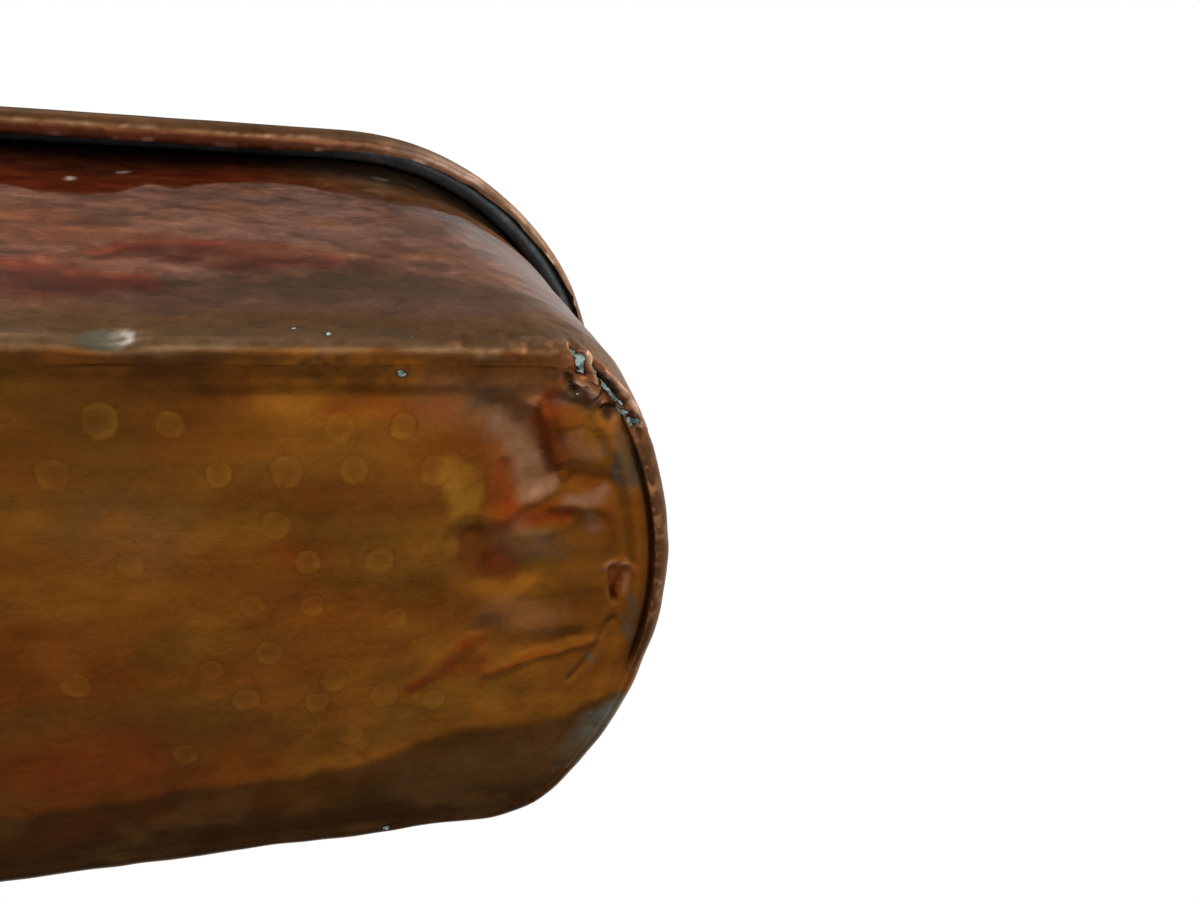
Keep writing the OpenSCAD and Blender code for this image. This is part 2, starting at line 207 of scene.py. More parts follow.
def aimed(place, aim):
    way = Vector(aim) - Vector(place)
    return Matrix.Translation(place) @ way.to_track_quat("-Z", "Y").to_matrix().to_4x4()


def makeSky():
    world = bpy.data.worlds.new("whiteRoom")
    scene.world = world
    world.use_nodes = True
    tree = world.node_tree
    tree.nodes.clear()
    output = tree.nodes.new("ShaderNodeOutputWorld")
    fill = addNode(tree, "ShaderNodeBackground", Color=grey(stage["fillTone"]), Strength=1.0)
    white = addNode(tree, "ShaderNodeBackground", Color=grey(1.0), Strength=1.0)
    path = tree.nodes.new("ShaderNodeLightPath").outputs
    seen = mathOf(tree, "ADD", path["Is Camera Ray"], path["Is Glossy Ray"], clamp=True)
    seen = mathOf(tree, "ADD", seen, path["Is Transmission Ray"], clamp=True)
    mixed = addNode(tree, "ShaderNodeMixShader", n0=seen, n1=fill.outputs[0], n2=white.outputs[0])
    tree.links.new(mixed.outputs[0], output.inputs[0])


def flatSheet(name, wide, high):
    mesh = bpy.data.meshes.new(name)
    corners = [(x * wide / 2, y * high / 2, 0) for x, y in ((-1, -1), (1, -1), (1, 1), (-1, 1))]
    mesh.from_pydata(corners, [], [(0, 1, 2, 3)])
    sheet = bpy.data.objects.new(name, mesh)
    scene.collection.objects.link(sheet)
    return sheet


def makeFloor():
    floor = flatSheet("floor", stage["floorSize"], stage["floorSize"])
    floor.location.z = -stage["floorDrop"]
    material, tree, shader = newMaterial("paleFloor", {
        "Base Color": grey(stage["floorTone"]), "Roughness": stage["floorRough"],
        "Specular IOR Level": stage["floorShine"],
    })
    output = next(n for n in tree.nodes if n.type == "OUTPUT_MATERIAL")
    clear = tree.nodes.new("ShaderNodeBsdfTransparent").outputs[0]
    below = tree.nodes.new("ShaderNodeNewGeometry").outputs["Backfacing"]
    far = vectorOf(tree, "LENGTH", objectPlace(tree), "Value")
    fade = addNode(tree, "ShaderNodeMapRange", {"interpolation_type": "SMOOTHSTEP"},
                   n0=far, n1=stage["fadeFrom"], n2=stage["fadeTo"]).outputs[0]
    white = addNode(tree, "ShaderNodeEmission", Color=grey(1.0), Strength=1.0).outputs[0]
    faded = addNode(tree, "ShaderNodeMixShader", n0=fade, n1=shader.outputs[0], n2=white).outputs[0]
    mixed = addNode(tree, "ShaderNodeMixShader", n0=below, n1=faded, n2=clear).outputs[0]
    tree.links.new(mixed, output.inputs[0])
    material.cycles.emission_sampling = "NONE"
    floor.data.materials.append(material)
    floor.visible_diffuse = floor.visible_glossy = floor.visible_transmission = floor.visible_shadow = False


def makeLamp(name, lamp):
    data = bpy.data.lights.new(name, "AREA")
    data.shape, data.size, data.energy = "SQUARE", lamp["size"], lamp["watts"]
    light = bpy.data.objects.new(name, data)
    scene.collection.objects.link(light)
    light.matrix_world = aimed(lamp["place"], lamp["aim"])


def makeBoard(name, board):
    sheet = flatSheet(name, board["wide"], board["high"])
    sheet.matrix_world = aimed(board["place"], board["aim"])
    sheet.data.materials.append(newMaterial(name, {
        "Base Color": grey(0.0), "Emission Color": grey(board["tone"]), "Emission Strength": 1.0,
        "Specular IOR Level": 0.0,
    })[0])
    sheet.visible_camera = sheet.visible_diffuse = sheet.visible_transmission = sheet.visible_shadow = False


makeSky()
makeFloor()
for lampName, lamp in lamps.items():
    makeLamp(lampName, lamp)
for boardName, board in boards.items():
    makeBoard(boardName, board)
print("stage lit")

# Body shape, the same outlines as the CAD solids: base and mouth, joined point by point
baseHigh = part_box("base_plate")[1]
wireLow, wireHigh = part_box("rim_wire")
body = {
    "halfLength": baseHigh.x,
    "halfWidth": baseHigh.y,
    "endRadius": 150 * mm,      # broad curve across each end of the base
    "cornerRadius": 34 * mm,    # four corners of the base
    "loftLow": 17 * mm,         # the wall is upright below this
    "loftHigh": 125 * mm,       # and above this
    "wallSheet": 1.5 * mm,
    "baseSheet": 1.8 * mm,
    "seamZ": 5 * mm,            # where wall and base meet
}
cornerY = body["halfWidth"] - body["cornerRadius"]
endX = body["halfLength"] - body["endRadius"]
arcReach = body["endRadius"] - body["cornerRadius"]
cornerX = endX + math.sqrt(arcReach ** 2 - cornerY ** 2)
cornerTurn = math.pi / 2 - math.asin(cornerY / arcReach)
mouthX = body["halfLength"] - body["halfWidth"]
wireRadius = (wireHigh.z - wireLow.z) / 2
rimZ = (wireHigh.z + wireLow.z) / 2
wireOut = wireHigh.y - wireRadius - body["halfWidth"]


def frontOutline(spacing):
    # stations along the front half, from the middle of the left end to the middle of the right;
    # spacing: beyond these x, this far apart, and how far apart elsewhere, in mm
    beyond, apart, rest = spacing
    arc = np.linspace(0, math.pi / 2, 700)[1:]
    run = np.linspace(-1, 1, 1400)
    turn = np.concatenate([arc[::-1], np.zeros(len(run)), arc])
    along = np.concatenate([-np.ones(len(arc)), run, np.ones(len(arc))])
    side, sine, cosine = np.sign(along), np.sin(turn), np.cos(turn)
    cornerPart = turn < cornerTurn
    baseX = np.where(cornerPart, cornerX + body["cornerRadius"] * sine, endX + body["endRadius"] * sine)
    baseY = np.where(cornerPart, -cornerY - body["cornerRadius"] * cosine, -body["endRadius"] * cosine)
    straight = turn == 0
    base = np.stack([np.where(straight, along * cornerX, side * baseX), baseY], 1)
    mouth = np.stack([np.where(straight, along * mouthX, side * (mouthX + body["halfWidth"] * sine)),
                      -body["halfWidth"] * cosine], 1)
    normal = np.stack([side * sine, -cosine], 1)
    steps = sum(np.linalg.norm(np.diff(path, axis=0), axis=1) for path in (base, mouth)) / 2
    x = (base[1:, 0] + base[:-1, 0]) / 2
    wanted = np.select([x > far * mm for far in beyond], [step * mm for step in apart], rest * mm)
    count = np.concatenate([[0], np.cumsum(steps / wanted)])
    picked = np.linspace(0, count[-1], int(round(count[-1])) + 1)
    outline = {}
    for key, values in (("base", base), ("mouth", mouth), ("normal", normal)):
        outline[key] = np.stack([np.interp(picked, count, values[:, i]) for i in range(2)], 1)
    outline["normal"] /= np.linalg.norm(outline["normal"], axis=1)[:, None]
    return outline


def backOutline(outline):
    return {key: values * (1, -1) for key, values in outline.items()}


def wholeOutline(outline):
    back = backOutline(outline)
    return {key: np.concatenate([outline[key], back[key][-2:0:-1]]) for key in outline}


def wallPlaces(outline, out, z):
    # points at a distance out from the wall's outer face and at height z, for each station
    share = np.clip((z - body["loftLow"]) / (body["loftHigh"] - body["loftLow"]), 0, 1)[..., None]
    base, mouth, normal = (outline[key][:, None, :] for key in ("base", "mouth", "normal"))
    flat = base * (1 - share) + mouth * share + normal * out[..., None]
    return np.concatenate([flat, np.broadcast_to(z, flat.shape[:2])[..., None]], axis=2)


# Noise and hammer marks, worked out on points so that the dents are real
def hashCells(cells, seed):
    primes = np.array([374761393, 668265263, 2246822519], np.int64)
    mixed = (cells.astype(np.int64) * primes[: cells.shape[-1]]).sum(-1) + seed * 1442695041
    mixed = (mixed ^ (mixed >> 13)) * 1274126177
    mixed = (mixed ^ (mixed >> 16)) & 0xFFFF
    return mixed / 65535.0


def softNoise(points, size, seed):
    # smooth noise from -1 to 1
    q = points / size
    cell = np.floor(q)
    part = q - cell
    part = part * part * (3 - 2 * part)
    total = np.zeros(len(q))
    for corner in itertools.product((0, 1), repeat=q.shape[1]):
        weight = np.prod(np.where(np.array(corner) == 1, part, 1 - part), axis=1)
        total += weight * hashCells(cell + corner, seed)
    return total * 2 - 1


def cloud(points, size, seed, layers=3):
    # layered noise, roughly from -1 to 1
    total = sum(softNoise(points, size / 2 ** i, seed + i) * 0.55 ** i for i in range(layers))
    return np.clip(total, -1, 1)


def hammerMarks(u, v, pitch, seed):
    # squared distance to the nearest blow, 0 at its middle and about 0.5 at its rim
    q = np.stack([u, v], 1) / pitch
    cell = np.floor(q)
    nearest = np.full(len(q), 9.0)
    for dx, dy in itertools.product((-1, 0, 1), repeat=2):
        here = cell + (dx, dy)
        blow = here + 0.5 + 0.7 * (np.stack([hashCells(here, seed), hashCells(here, seed + 7)], 1) - 0.5)
        nearest = np.minimum(nearest, ((q - blow) ** 2).sum(1))
    return np.minimum(nearest, 0.7)


def smooth(value, low, high):
    # 0 at low, 1 at high
    share = np.clip((value - low) / (high - low), 0, 1)
    return share * share * (3 - 2 * share)


def bell(value, middle, width):
    # 1 at the middle, fading to both sides
    return np.exp(-((value - middle) / width) ** 2)


def spots(points, places):
    # soft spots from 0 to 1: each place is (x, y, reach in x, reach in y, strength), in mm
    total = np.zeros(len(points))
    for x, y, reachX, reachY, strength in places:
        far = ((points[:, 0] - x * mm) / (reachX * mm)) ** 2 + ((points[:, 1] - y * mm) / (reachY * mm)) ** 2
        total = np.maximum(total, strength * np.exp(-far ** 1.5))
    return total


def lineNear(points, line, width):
    # 1 on a line through the listed places, in mm, fading to 0 over its width
    nearest = np.full(len(points), 1.0)
    for a, b in zip(line[:-1], line[1:]):
        a, b = np.array(a) * mm, np.array(b) * mm
        way = b - a
        part = np.clip(((points - a) @ way) / (way @ way), 0, 1)
        nearest = np.minimum(nearest, np.linalg.norm(points - a - part[:, None] * way, axis=1))
    return np.exp(-(nearest / (width * mm)) ** 2)


def stroke(points, line, soft):
    # a brush stroke through the places (across, along, half width), in mm: 1 inside, 0 beyond its soft edge
    nearest = np.full(len(points), 9.0)
    for a, b in zip(line[:-1], line[1:]):
        start, way = np.array(a[:2]) * mm, (np.array(b[:2]) - np.array(a[:2])) * mm
        part = np.clip(((points - start) @ way) / (way @ way), 0, 1)
        width = (a[2] + (b[2] - a[2]) * part) * mm
        nearest = np.minimum(nearest, np.linalg.norm(points - start - part[:, None] * way, axis=1) / width)
    return smooth(nearest, 1 + soft, 1 - soft)


# Meshes from rows and columns of points
def sweepMesh(name, points, closeRound, closeSection, marks=None):
    rounds, rows = points.shape[:2]
    index = np.arange(rounds * rows).reshape(rounds, rows)
    nextRound = np.roll(index, -1, 0) if closeRound else index[1:]
    a = index if closeRound else index[:-1]
    if closeSection:
        b, d = np.roll(a, -1, 1), np.roll(nextRound, -1, 1)
        c = nextRound
    else:
        a, b, c, d = a[:, :-1], a[:, 1:], nextRound[:, :-1], nextRound[:, 1:]
    quads = np.stack([a, c, d, b], -1).reshape(-1, 4)
    mesh = bpy.data.meshes.new(name)
    mesh.from_pydata(points.reshape(-1, 3).tolist(), [], quads.tolist())
    for key, values in (marks or {}).items():
        values = np.asarray(values, np.float32)
        if values.ndim == 2:
            layer = mesh.attributes.new(key, "FLOAT_COLOR", "POINT")
            opaque = np.ones((len(values), 1), np.float32)
            layer.data.foreach_set("color", np.concatenate([values, opaque], 1).ravel())
        else:
            layer = mesh.attributes.new(key, "FLOAT", "POINT")
            layer.data.foreach_set("value", values)
    return mesh


def finishMesh(mesh, sharpAngle=38, capLoops=None):
    shape = bmesh.new()
    shape.from_mesh(mesh)
    shape.verts.ensure_lookup_table()
    for loop in capLoops or []:
        shape.faces.new([shape.verts[i] for i in loop])
    bmesh.ops.remove_doubles(shape, verts=shape.verts, dist=1e-6)
    bmesh.ops.recalc_face_normals(shape, faces=shape.faces)
    if shape.calc_volume(signed=True) < 0:
        bmesh.ops.reverse_faces(shape, faces=shape.faces)
    shape.to_mesh(mesh)
    shape.free()
    mesh.polygons.foreach_set("use_smooth", np.ones(len(mesh.polygons), bool))
    mesh.set_sharp_from_angle(angle=math.radians(sharpAngle))
    mesh.update()
    return mesh


def addPiece(name, mesh, bodyName, slot, material, *stoodFor):
    piece = bpy.data.objects.new(name, mesh)
    scene.collection.objects.link(piece)
    mesh.materials.clear()
    mesh.materials.append(material)
    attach(piece, bodyName)
    if stoodFor:
        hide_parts(*stoodFor)
    return piece


# Copper colours as seen on screen: gold and brown from years of heat, with red, straw and purple heat
# colours; some stand in for light: painted highlights, sheen, reflections and shade
seenTones = {
    "goldDark": (84, 47, 11), "goldMid": (107, 60, 14), "goldLight": (128, 77, 20),
    "redGold": (114, 50, 10), "olive": (85, 57, 16), "ember": (114, 42, 9), "wine": (83, 34, 8),
    "straw": (140, 92, 28), "pinkSheen": (138, 102, 76), "slate": (77, 70, 56), "slateReflection": (104, 108, 98),
    "stain": (66, 60, 44), "crease": (124, 54, 12), "sootAndShade": (53, 30, 8), "darkSideBrown": (88, 58, 27),
    "groove": (48, 29, 10), "ridge": (81, 58, 35), "rubbedHighlight": (112, 87, 62), "seam": (58, 34, 11),
    "band": (78, 48, 26), "bandWorn": (140, 97, 64), "fold": (130, 80, 48), "foldHighlight": (222, 182, 154),
    "pit": (34, 28, 21), "mauve": (131, 91, 76), "tan": (126, 80, 52), "streak": (86, 52, 40),
    "wallRed": (72, 21, 8), "wallFlame": (114, 45, 20), "wallOlive": (53, 37, 23), "wallGold": (86, 55, 24),
    "wallLow": (82, 56, 41), "sheen": (120, 121, 128), "bandOlive": (104, 84, 66), "bandRed": (70, 21, 8),
    "bandDark": (68, 29, 14), "blackSootAndShade": (38, 22, 14), "rollTop": (82, 54, 31),
    "rollHighlightLine": (142, 106, 78), "rollRed": (70, 30, 15), "rollPale": (124, 92, 68), "silver": (88, 82, 68),
    "silverHighlight": (205, 194, 188), "rollShoulderHighlight": (226, 186, 164), "tinned": (160, 154, 142),
    "tinWorn": (118, 84, 62),
}
tones = {name: np.array(linear(*seen)) for name, seen in seenTones.items()}


def coat(tone, count):
    return np.tile(tones[tone], (count, 1))


def over(tint, tone, share):
    # another coat of a tone, as thick as its share
    return tint + (tones[tone] - tint) * np.clip(share, 0, 1)[:, None]


def wandered(flat, far, size, seed):
    # places moved about a little, so that painted edges wander
    return flat + far * np.stack([cloud(flat, size, seed, 2), cloud(flat, size, seed + 5, 2)], 1)


def wornTin(flat, size, seed):
    # soft patches where the tin is rubbed through
    return 0.7 * smooth(cloud(wandered(flat, 0.4 * size, 0.75 * size, seed + 4), size, seed), -0.05, 0.9)


def tinInside(tint, inside, rubbed):
    # the tinned inner face, copper where it is rubbed
    tint = np.where(inside[:, None], tones["tinned"], tint)
    return over(tint, "tinWorn", inside * rubbed)


def paintStrokes(tint, strokes, places, share):
    for tone, strength, soft, line in strokes:
        tint = over(tint, tone, strength * share * stroke(places, line, soft))
    return tint


def coarseGrit(points):
    return softNoise(points, 1.5 * mm, 47) + 0.6 * softNoise(points, 4.5 * mm, 48)


# Knocks on the bottom edge and the crushed corner, shared by base and wall so that they still meet
knocks = {
    "trenches": [  # line in mm, reach, depth, share of verdigris
        ([(239, -93.3, 4.6), (240.6, -90.5, 1.2), (241.3, -86.5, 0.6)], 1.7, 3.2, 1.0),
        ([(245.5, -89, 1.8), (248.8, -81.8, 0.4), (252, -78.8, 0.6), (254.5, -77, 0.6)], 1.6, 3.2, 1.0),
        ([(249, -85.5, 0.9), (252.5, -81, 0.6)], 1.8, 2.8, 0.0),
        ([(253, -74.6, 0.8), (257, -73, 0.8), (259.6, -71.5, 1.2)], 1.5, 3.0, 1.0),
        ([(250, -75, 0.8), (251.5, -73, 0.8)], 2.1, 2.6, 0.35),
        ([(237.4, -86, 0.8), (240, -81, 1.0)], 1.3, 2.2, 0.0),
        ([(260, -69, 1), (262, -62, 1)], 1.2, 1.4, 0.45),
    ],
    "folds": [  # line in mm, reach, rise
        ([(237.6, -93.8, 5), (238.6, -89, 1.5)], 1.3, 1.0),
        ([(242.6, -91.8, 3.2), (245, -86, 0.5), (246.4, -81.5, 0.6)], 1.7, 1.5),
        ([(240, -84, 0.8), (243, -83, 0.8), (245.5, -80, 0.8)], 1.5, 1.2),
        ([(249.8, -87.6, 2.4), (255, -81.5, 1.6), (258.7, -75.6, 1.6), (261.3, -70.5, 1.5)], 1.4, 0.9),
        ([(248.4, -78, 0.8), (254, -75.4, 0.8)], 1.3, 1.2),
    ],
    "edge": [  # x, y, z, reach along, reach up, depth, in mm
        (128.5, -95, 5, 6.5, 5.2, 1.7), (196, -95, 2, 9, 5, 0.5), (60, -95, 3, 14, 5, 0.5),
        (165, -95, 3, 12, 5, 0.4), (222, -95, 3, 8, 5, 0.6), (-90, -95, 3, 12, 5, 0.7),
        (-200, 95, 3, 10, 5, 0.9), (40, 95, 3, 16, 6, 0.7), (160, 95, 3, 14, 5, 0.6),
        (210, 95, 3, 12, 5, 0.8), (-268, -50, 3, 9, 5, 1.2), (276, 20, 3, 8, 5, 0.6),
        (248, -84, 2, 12, 8, 1.7),
    ],
    "uneven": 0.5, "trenchShare": 0.75,     # depth in mm, and the share of each trench's depth that is cut
    # where the corner is crumpled, and where it is bare: line and reach, in mm
    "crushed": ([(238, -90, 3), (247, -84, 2), (256, -76, 2), (261, -70, 2)], 7),
    "bared": ([(240, -89, 2), (247, -84, 1), (256, -76, 1), (260, -71, 1)], 6.5),
    "rubbed": [(128.5, 6.0), (-95, 5), (5, 4.8)],   # middle and reach in x, y and z
    "specks": [  # verdigris: x, y, z, reach in mm, strength
        (178, -95, 6.5, 0.9, 1), (169.5, -95, 9.5, 0.7, 0.9), (195, -87.4, 1.2, 1.6, 0.9),
        (198, -95, 6, 0.8, 0.9), (196, 89.5, 1, 1.6, 0.9), (263, -56, 1.5, 1.2, 0.6),
        (273, 24, 1.2, 1.2, 0.7), (-252, -80, 2, 3, 0.8), (-150, 95, 4, 2, 0.7), (240.5, -80, 1, 0.7, 0.8),
        (255.4, -74.2, 0.8, 2.0, 0.95), (257.6, -72.2, 1.0, 2.0, 0.95), (252, -79, 0.6, 1.8, 0.8),
    ],
}


def knockDepth(points):
    # how far each point is pushed in
    uneven = 0.5 + 0.5 * softNoise(points, 26 * mm, 13) + 0.35 * softNoise(points, 8 * mm, 16)
    depth = knocks["uneven"] * mm * uneven
    for x, y, z, along, up, deep in knocks["edge"]:
        flat = np.hypot(points[:, 0] - x * mm, points[:, 1] - y * mm) / (along * mm)
        high = (points[:, 2] - z * mm) / (up * mm)
        depth += deep * mm * np.exp(-flat ** 2 - high ** 2)
    for line, reach, deep, _ in knocks["trenches"]:
        depth += knocks["trenchShare"] * deep * mm * lineNear(points, line, reach)
    for line, reach, rise in knocks["folds"]:
        depth -= rise * mm * lineNear(points, line, reach)
    crumpled = 0.45 * softNoise(points, 4 * mm, 14) + 0.25 * softNoise(points, 2 * mm, 15)
    return depth + lineNear(points, *knocks["crushed"]) * mm * crumpled


def paintCorner(tint, worn, points):
    # the crushed corner: bare copper on its folds, with painted highlights on their crests, black and
    # verdigris in its trenches
    mottle = softNoise(points, 2.2 * mm, 81)
    tint = over(tint, "fold", 0.85 * lineNear(points, *knocks["bared"]) * (0.85 + 0.3 * mottle))
    for line, reach, _ in knocks["folds"]:
        near = lineNear(points, line, reach)
        tint = over(tint, "fold", near)
        tint = over(tint, "foldHighlight", smooth(near, 0.5, 1.0) * (0.65 + 0.6 * mottle))
        worn = np.maximum(worn, near)
    dark, green = np.zeros(len(points)), np.zeros(len(points))
    broken = points + 0.7 * mm * np.stack([softNoise(points, 1.7 * mm, 82 + i) for i in range(3)], 1)
    for line, reach, _, share in knocks["trenches"]:
        dark = np.maximum(dark, lineNear(broken, line, reach * 1.15))
        green = np.maximum(green, share * lineNear(broken, line, reach * 0.78))
    for x, y, z, reach, strength in knocks["specks"]:
        far = np.linalg.norm(broken - np.array((x, y, z)) * mm, axis=1) / (reach * mm)
        green = np.maximum(green, strength * np.exp(-far ** 2))
    tint = over(tint, "pit", 0.7 * smooth(dark, 0.25, 0.85))
    worn = worn * (1 - smooth(dark, 0.15, 0.45))
    # the knock on the front edge that is rubbed grey, with a painted highlight on its brink
    rubbed = np.ones(len(points))
    for i, (middle, reach) in enumerate(knocks["rubbed"]):
        rubbed *= bell(points[:, i], middle * mm, reach * mm)
    tint = over(tint, "silver", smooth(rubbed, 0.3, 0.6))
    brink = smooth(rubbed, 0.25, 0.42) * smooth(rubbed, 0.66, 0.46)
    tint = over(tint, "silverHighlight", 0.5 * brink * smooth(points[:, 0], 130 * mm, 135 * mm))
    worn = np.maximum(worn, 0.35 * smooth(rubbed, 0.3, 0.7))
    return tint, worn, green


def paintEdge(tint, points, edgeRun, out):
    # the worn bottom edge of the long sides, the same on base and wall, with a painted highlight along its
    # rounding and painted shade below it
    # edgeRun: way up from where base and wall meet, in mm; out: the outline's outward direction
    side = smooth(np.abs(out[:, 1]), 0.55, 0.85)
    along = points[:, :2] * (1, 0)
    x = points[:, 0] / mm
    grit = coarseGrit(points)
    edgeRun = edgeRun + 1.2 * softNoise(along, 17 * mm, 45) + 0.8 * softNoise(along, 5 * mm, 46)
    tint = over(tint, "wallGold", side * smooth(edgeRun, 20, 6) * smooth(edgeRun, -5.5, -3))
    lower = edgeRun + sum(far * softNoise(points, size * mm, seed)
                          for far, size, seed in ((1.3, 22, 57), (0.9, 8, 55), (0.5, 3, 56)))
    # pale ridge: worn copper, and in part the rounded edge's painted highlight
    ridge = np.maximum(bell(edgeRun, 1.5, 4.6), smooth(lower, -6.2, -4.8) * smooth(edgeRun, 1.5, -1))
    tint = over(tint, "ridge", side * ridge * (0.85 + 0.25 * grit))
    # painted highlight along the rounded edge
    shine = (0.6 - 0.2 * smooth(x, 190, 215)) * bell(edgeRun, -2.2, 2.3)
    tint = over(tint, "rubbedHighlight", side * shine * smooth(grit, -1.7, 0.5))
    # painted shade under the rounded edge, darkening what it reflects
    below = smooth(lower, -4.5, -6.0) * smooth(lower + 5 * softNoise(points, 13 * mm, 53), -20, -8)
    tint = over(tint, "seam", side * below * (0.62 + 0.3 * softNoise(points, 6 * mm, 54) + 0.2 * grit))
    rough = side * smooth(x, 192, 218) * bell(edgeRun, -3, 4.5)
    tint = over(tint, "bandRed", 0.7 * rough * smooth(softNoise(points, 6 * mm, 49), -0.1, 0.45))
    tint = over(tint, "bandWorn", 0.85 * rough * smooth(grit, 0.2, 0.9))
    # dark lines lower down, partly dirt and partly painted shade where the edge meets the sheet
    dirtAndShade = bell(lower, -6.8, 1.6) * smooth(softNoise(along, 11 * mm, 50), -0.6, 0.4)
    dirtAndShade += 0.7 * bell(lower, -11, 3) * smooth(softNoise(points, 9 * mm, 52), 0.1, 0.6)
    return over(tint, "seam", 0.6 * side * dirtAndShade)


# Base: a beaten sheet inside the band that the kettle stands on
basePan = {
    "spacing": ([268, 232, 48], [0.95, 0.6, 1.25], 3.4),
    "middle": 205 * mm,         # the rings close on a line this long each way
    "inset": 10.3 * mm, "rings": 60, "innerRings": 15,
    "recess": 1.2 * mm, "edgeRadius": 5 * mm, "lipOut": 1.75 * mm, "lipTop": 14 * mm,
    # over the groove and the band: distance in and height, in mm
    "lowRows": [(9.4, 1.25), (8.4, 1.3), (7.4, 1.5), (6.7, 1.9), (6.2, 2.0), (5.9, 1.5), (5.7, 0.8),
                (5.5, 0.25), (5.35, 0.05), (5.2, 0), (5.1, 0)],
    # round hammer marks
    "planish": [(141, -73), (180, -71), (196, -71), (167, -58), (184, -58), (151, -58), (164, -41),
                (172, -28), (191, -27), (161, 5), (145, 10), (154, 23), (174, 27), (194, 26), (184, 42),
                (173, -12), (114, -59), (157, -13), (205, -57), (179, 18), (196, -5), (126, -74),
                (209, 30), (128, -30), (110, 12), (136, 44)],
    "planishReach": 3.9, "planishDepth": 0.1 * mm, "hammer": 13 * mm, "hammerDepth": 0.1 * mm,
    "uneven": [(0.22, 41, 21), (0.12, 15, 22), (0.05, 5.5, 23)],    # height and size in mm, and seed
    # inside, over the band: distance in and height, in mm
    "innerRows": [(7.3, 3.5), (9, 3.7)], "innerLow": 3.3 * mm,
    # inside, over the beaten ends: rise, x, y and reaches, in mm
    "raised": [(4.8, 240, -25, 42, 70), (2.2, -243, 0, 34, 60)],
    # the drainer's feet, where the inside stays level
    "feet": [(195, -65), (195, 65), (-195, -65), (-195, 65)], "footReach": 14,
    "wornFlat": 0.45 * mm, "wornDrop": 0.75 * mm,       # the long sides' edge is worn flat
    # edge of the dark back side, partly soot and partly painted shade: x and y, in mm
    "darkSideEdge": ([-280, 82, 168, 199, 211, 229, 244, 257, 267, 280],
                 [60, 62, 59, 52.5, 47.5, 45.5, 44.5, 41.5, 32.5, 33]),
    "deepest": 1.15 * mm,       # no dent stands out below the band
    "lift": 1.2,                # paint is this much brighter than seen, for the dark board it reflects
}
# Dents of the beaten end: push in, softness, then places with half widths
baseDents = [
    (2.4, 0.85, [(220, -75, 4), (225, -67.5, 6), (230, -59.5, 7.4), (233.2, -51.5, 7.6)]),
    (1.7, 0.8, [(216, -32, 5), (221, -27, 8), (227, -20, 7)]),
    (1.7, 0.75, [(246, -50.5, 5.5), (252.5, -49, 5)]), (1.5, 0.8, [(240, -79.5, 4), (244.5, -79, 4)]),
    (0.9, 0.8, [(222.8, -56, 2.6), (224, -44, 3.6)]), (0.9, 0.8, [(232, -38.2, 3), (243, -38.5, 2.6)]),
    (-0.9, 0.8, [(230.5, -77, 1.6), (233.8, -67, 1.9), (238.5, -57, 2)]),
    (-0.7, 0.8, [(240.5, -52, 1.8), (239, -47.5, 2), (234, -44.5, 2)]),
    (1.2, 0.7, [(260.5, -18.5, 1.6), (262.3, -12, 1.7), (263, -5, 1.1)]),
    (0.9, 0.7, [(264.8, -18, 1.4), (264, -12, 1.3), (263.2, -6, 1)]),
    (-0.5, 0.8, [(258.5, -19, 1), (262, -21, 1.2), (267, -18, 1.1)]),
    (0.7, 0.9, [(224, 3, 4), (230, 11, 4), (238, 10, 3.4), (252, 9, 2.8)]),
    (-0.5, 0.8, [(225.8, 21.6, 1.8), (232.6, 18.3, 1.8), (239.4, 15.1, 1.7), (258, 12, 1.6)]),
    (-0.3, 0.8, [(202, 23.4, 2.4), (209.5, 18, 2.8), (213.6, 12.2, 2.8), (220, 6.5, 2.6)]),
    (0.6, 0.6, [(263.5, 2, 0.9), (258, 18, 0.9), (252, 27, 0.9)]),
    (1.2, 0.7, [(253.6, -68, 1.2), (256, -56, 1.3)]), (1.1, 0.8, [(259, -67, 2.6), (263, -52, 2.6)]),
    (0.7, 0.8, [(247, -35, 4), (253, -34, 4)]), (0.6, 0.9, [(150, -82, 4), (176, -83, 4), (205, -81, 4)]),
    (1.2, 0.8, [(-236, -52, 8), (-240, -30, 9)]), (1.0, 0.8, [(-228, 26, 8), (-222, 34, 6)]),
    (-0.8, 0.8, [(-226, -50, 2), (-229, -28, 2.4)]), (0.7, 0.9, [(-96, 40, 9), (-84, 42, 10)]),
    (0.7, 0.8, [(-262, -20, 4), (-258, 12, 4)]),
]
baseSwells = [  # x, y, reach in x, reach in y, push in
    (245, -25, 34, 64, 1.8), (120, 0, 70, 40, 0.5), (-150, -20, 80, 40, 0.7), (-245, 10, 22, 40, 1.6),
    (20, 20, 60, 30, 0.4),
]
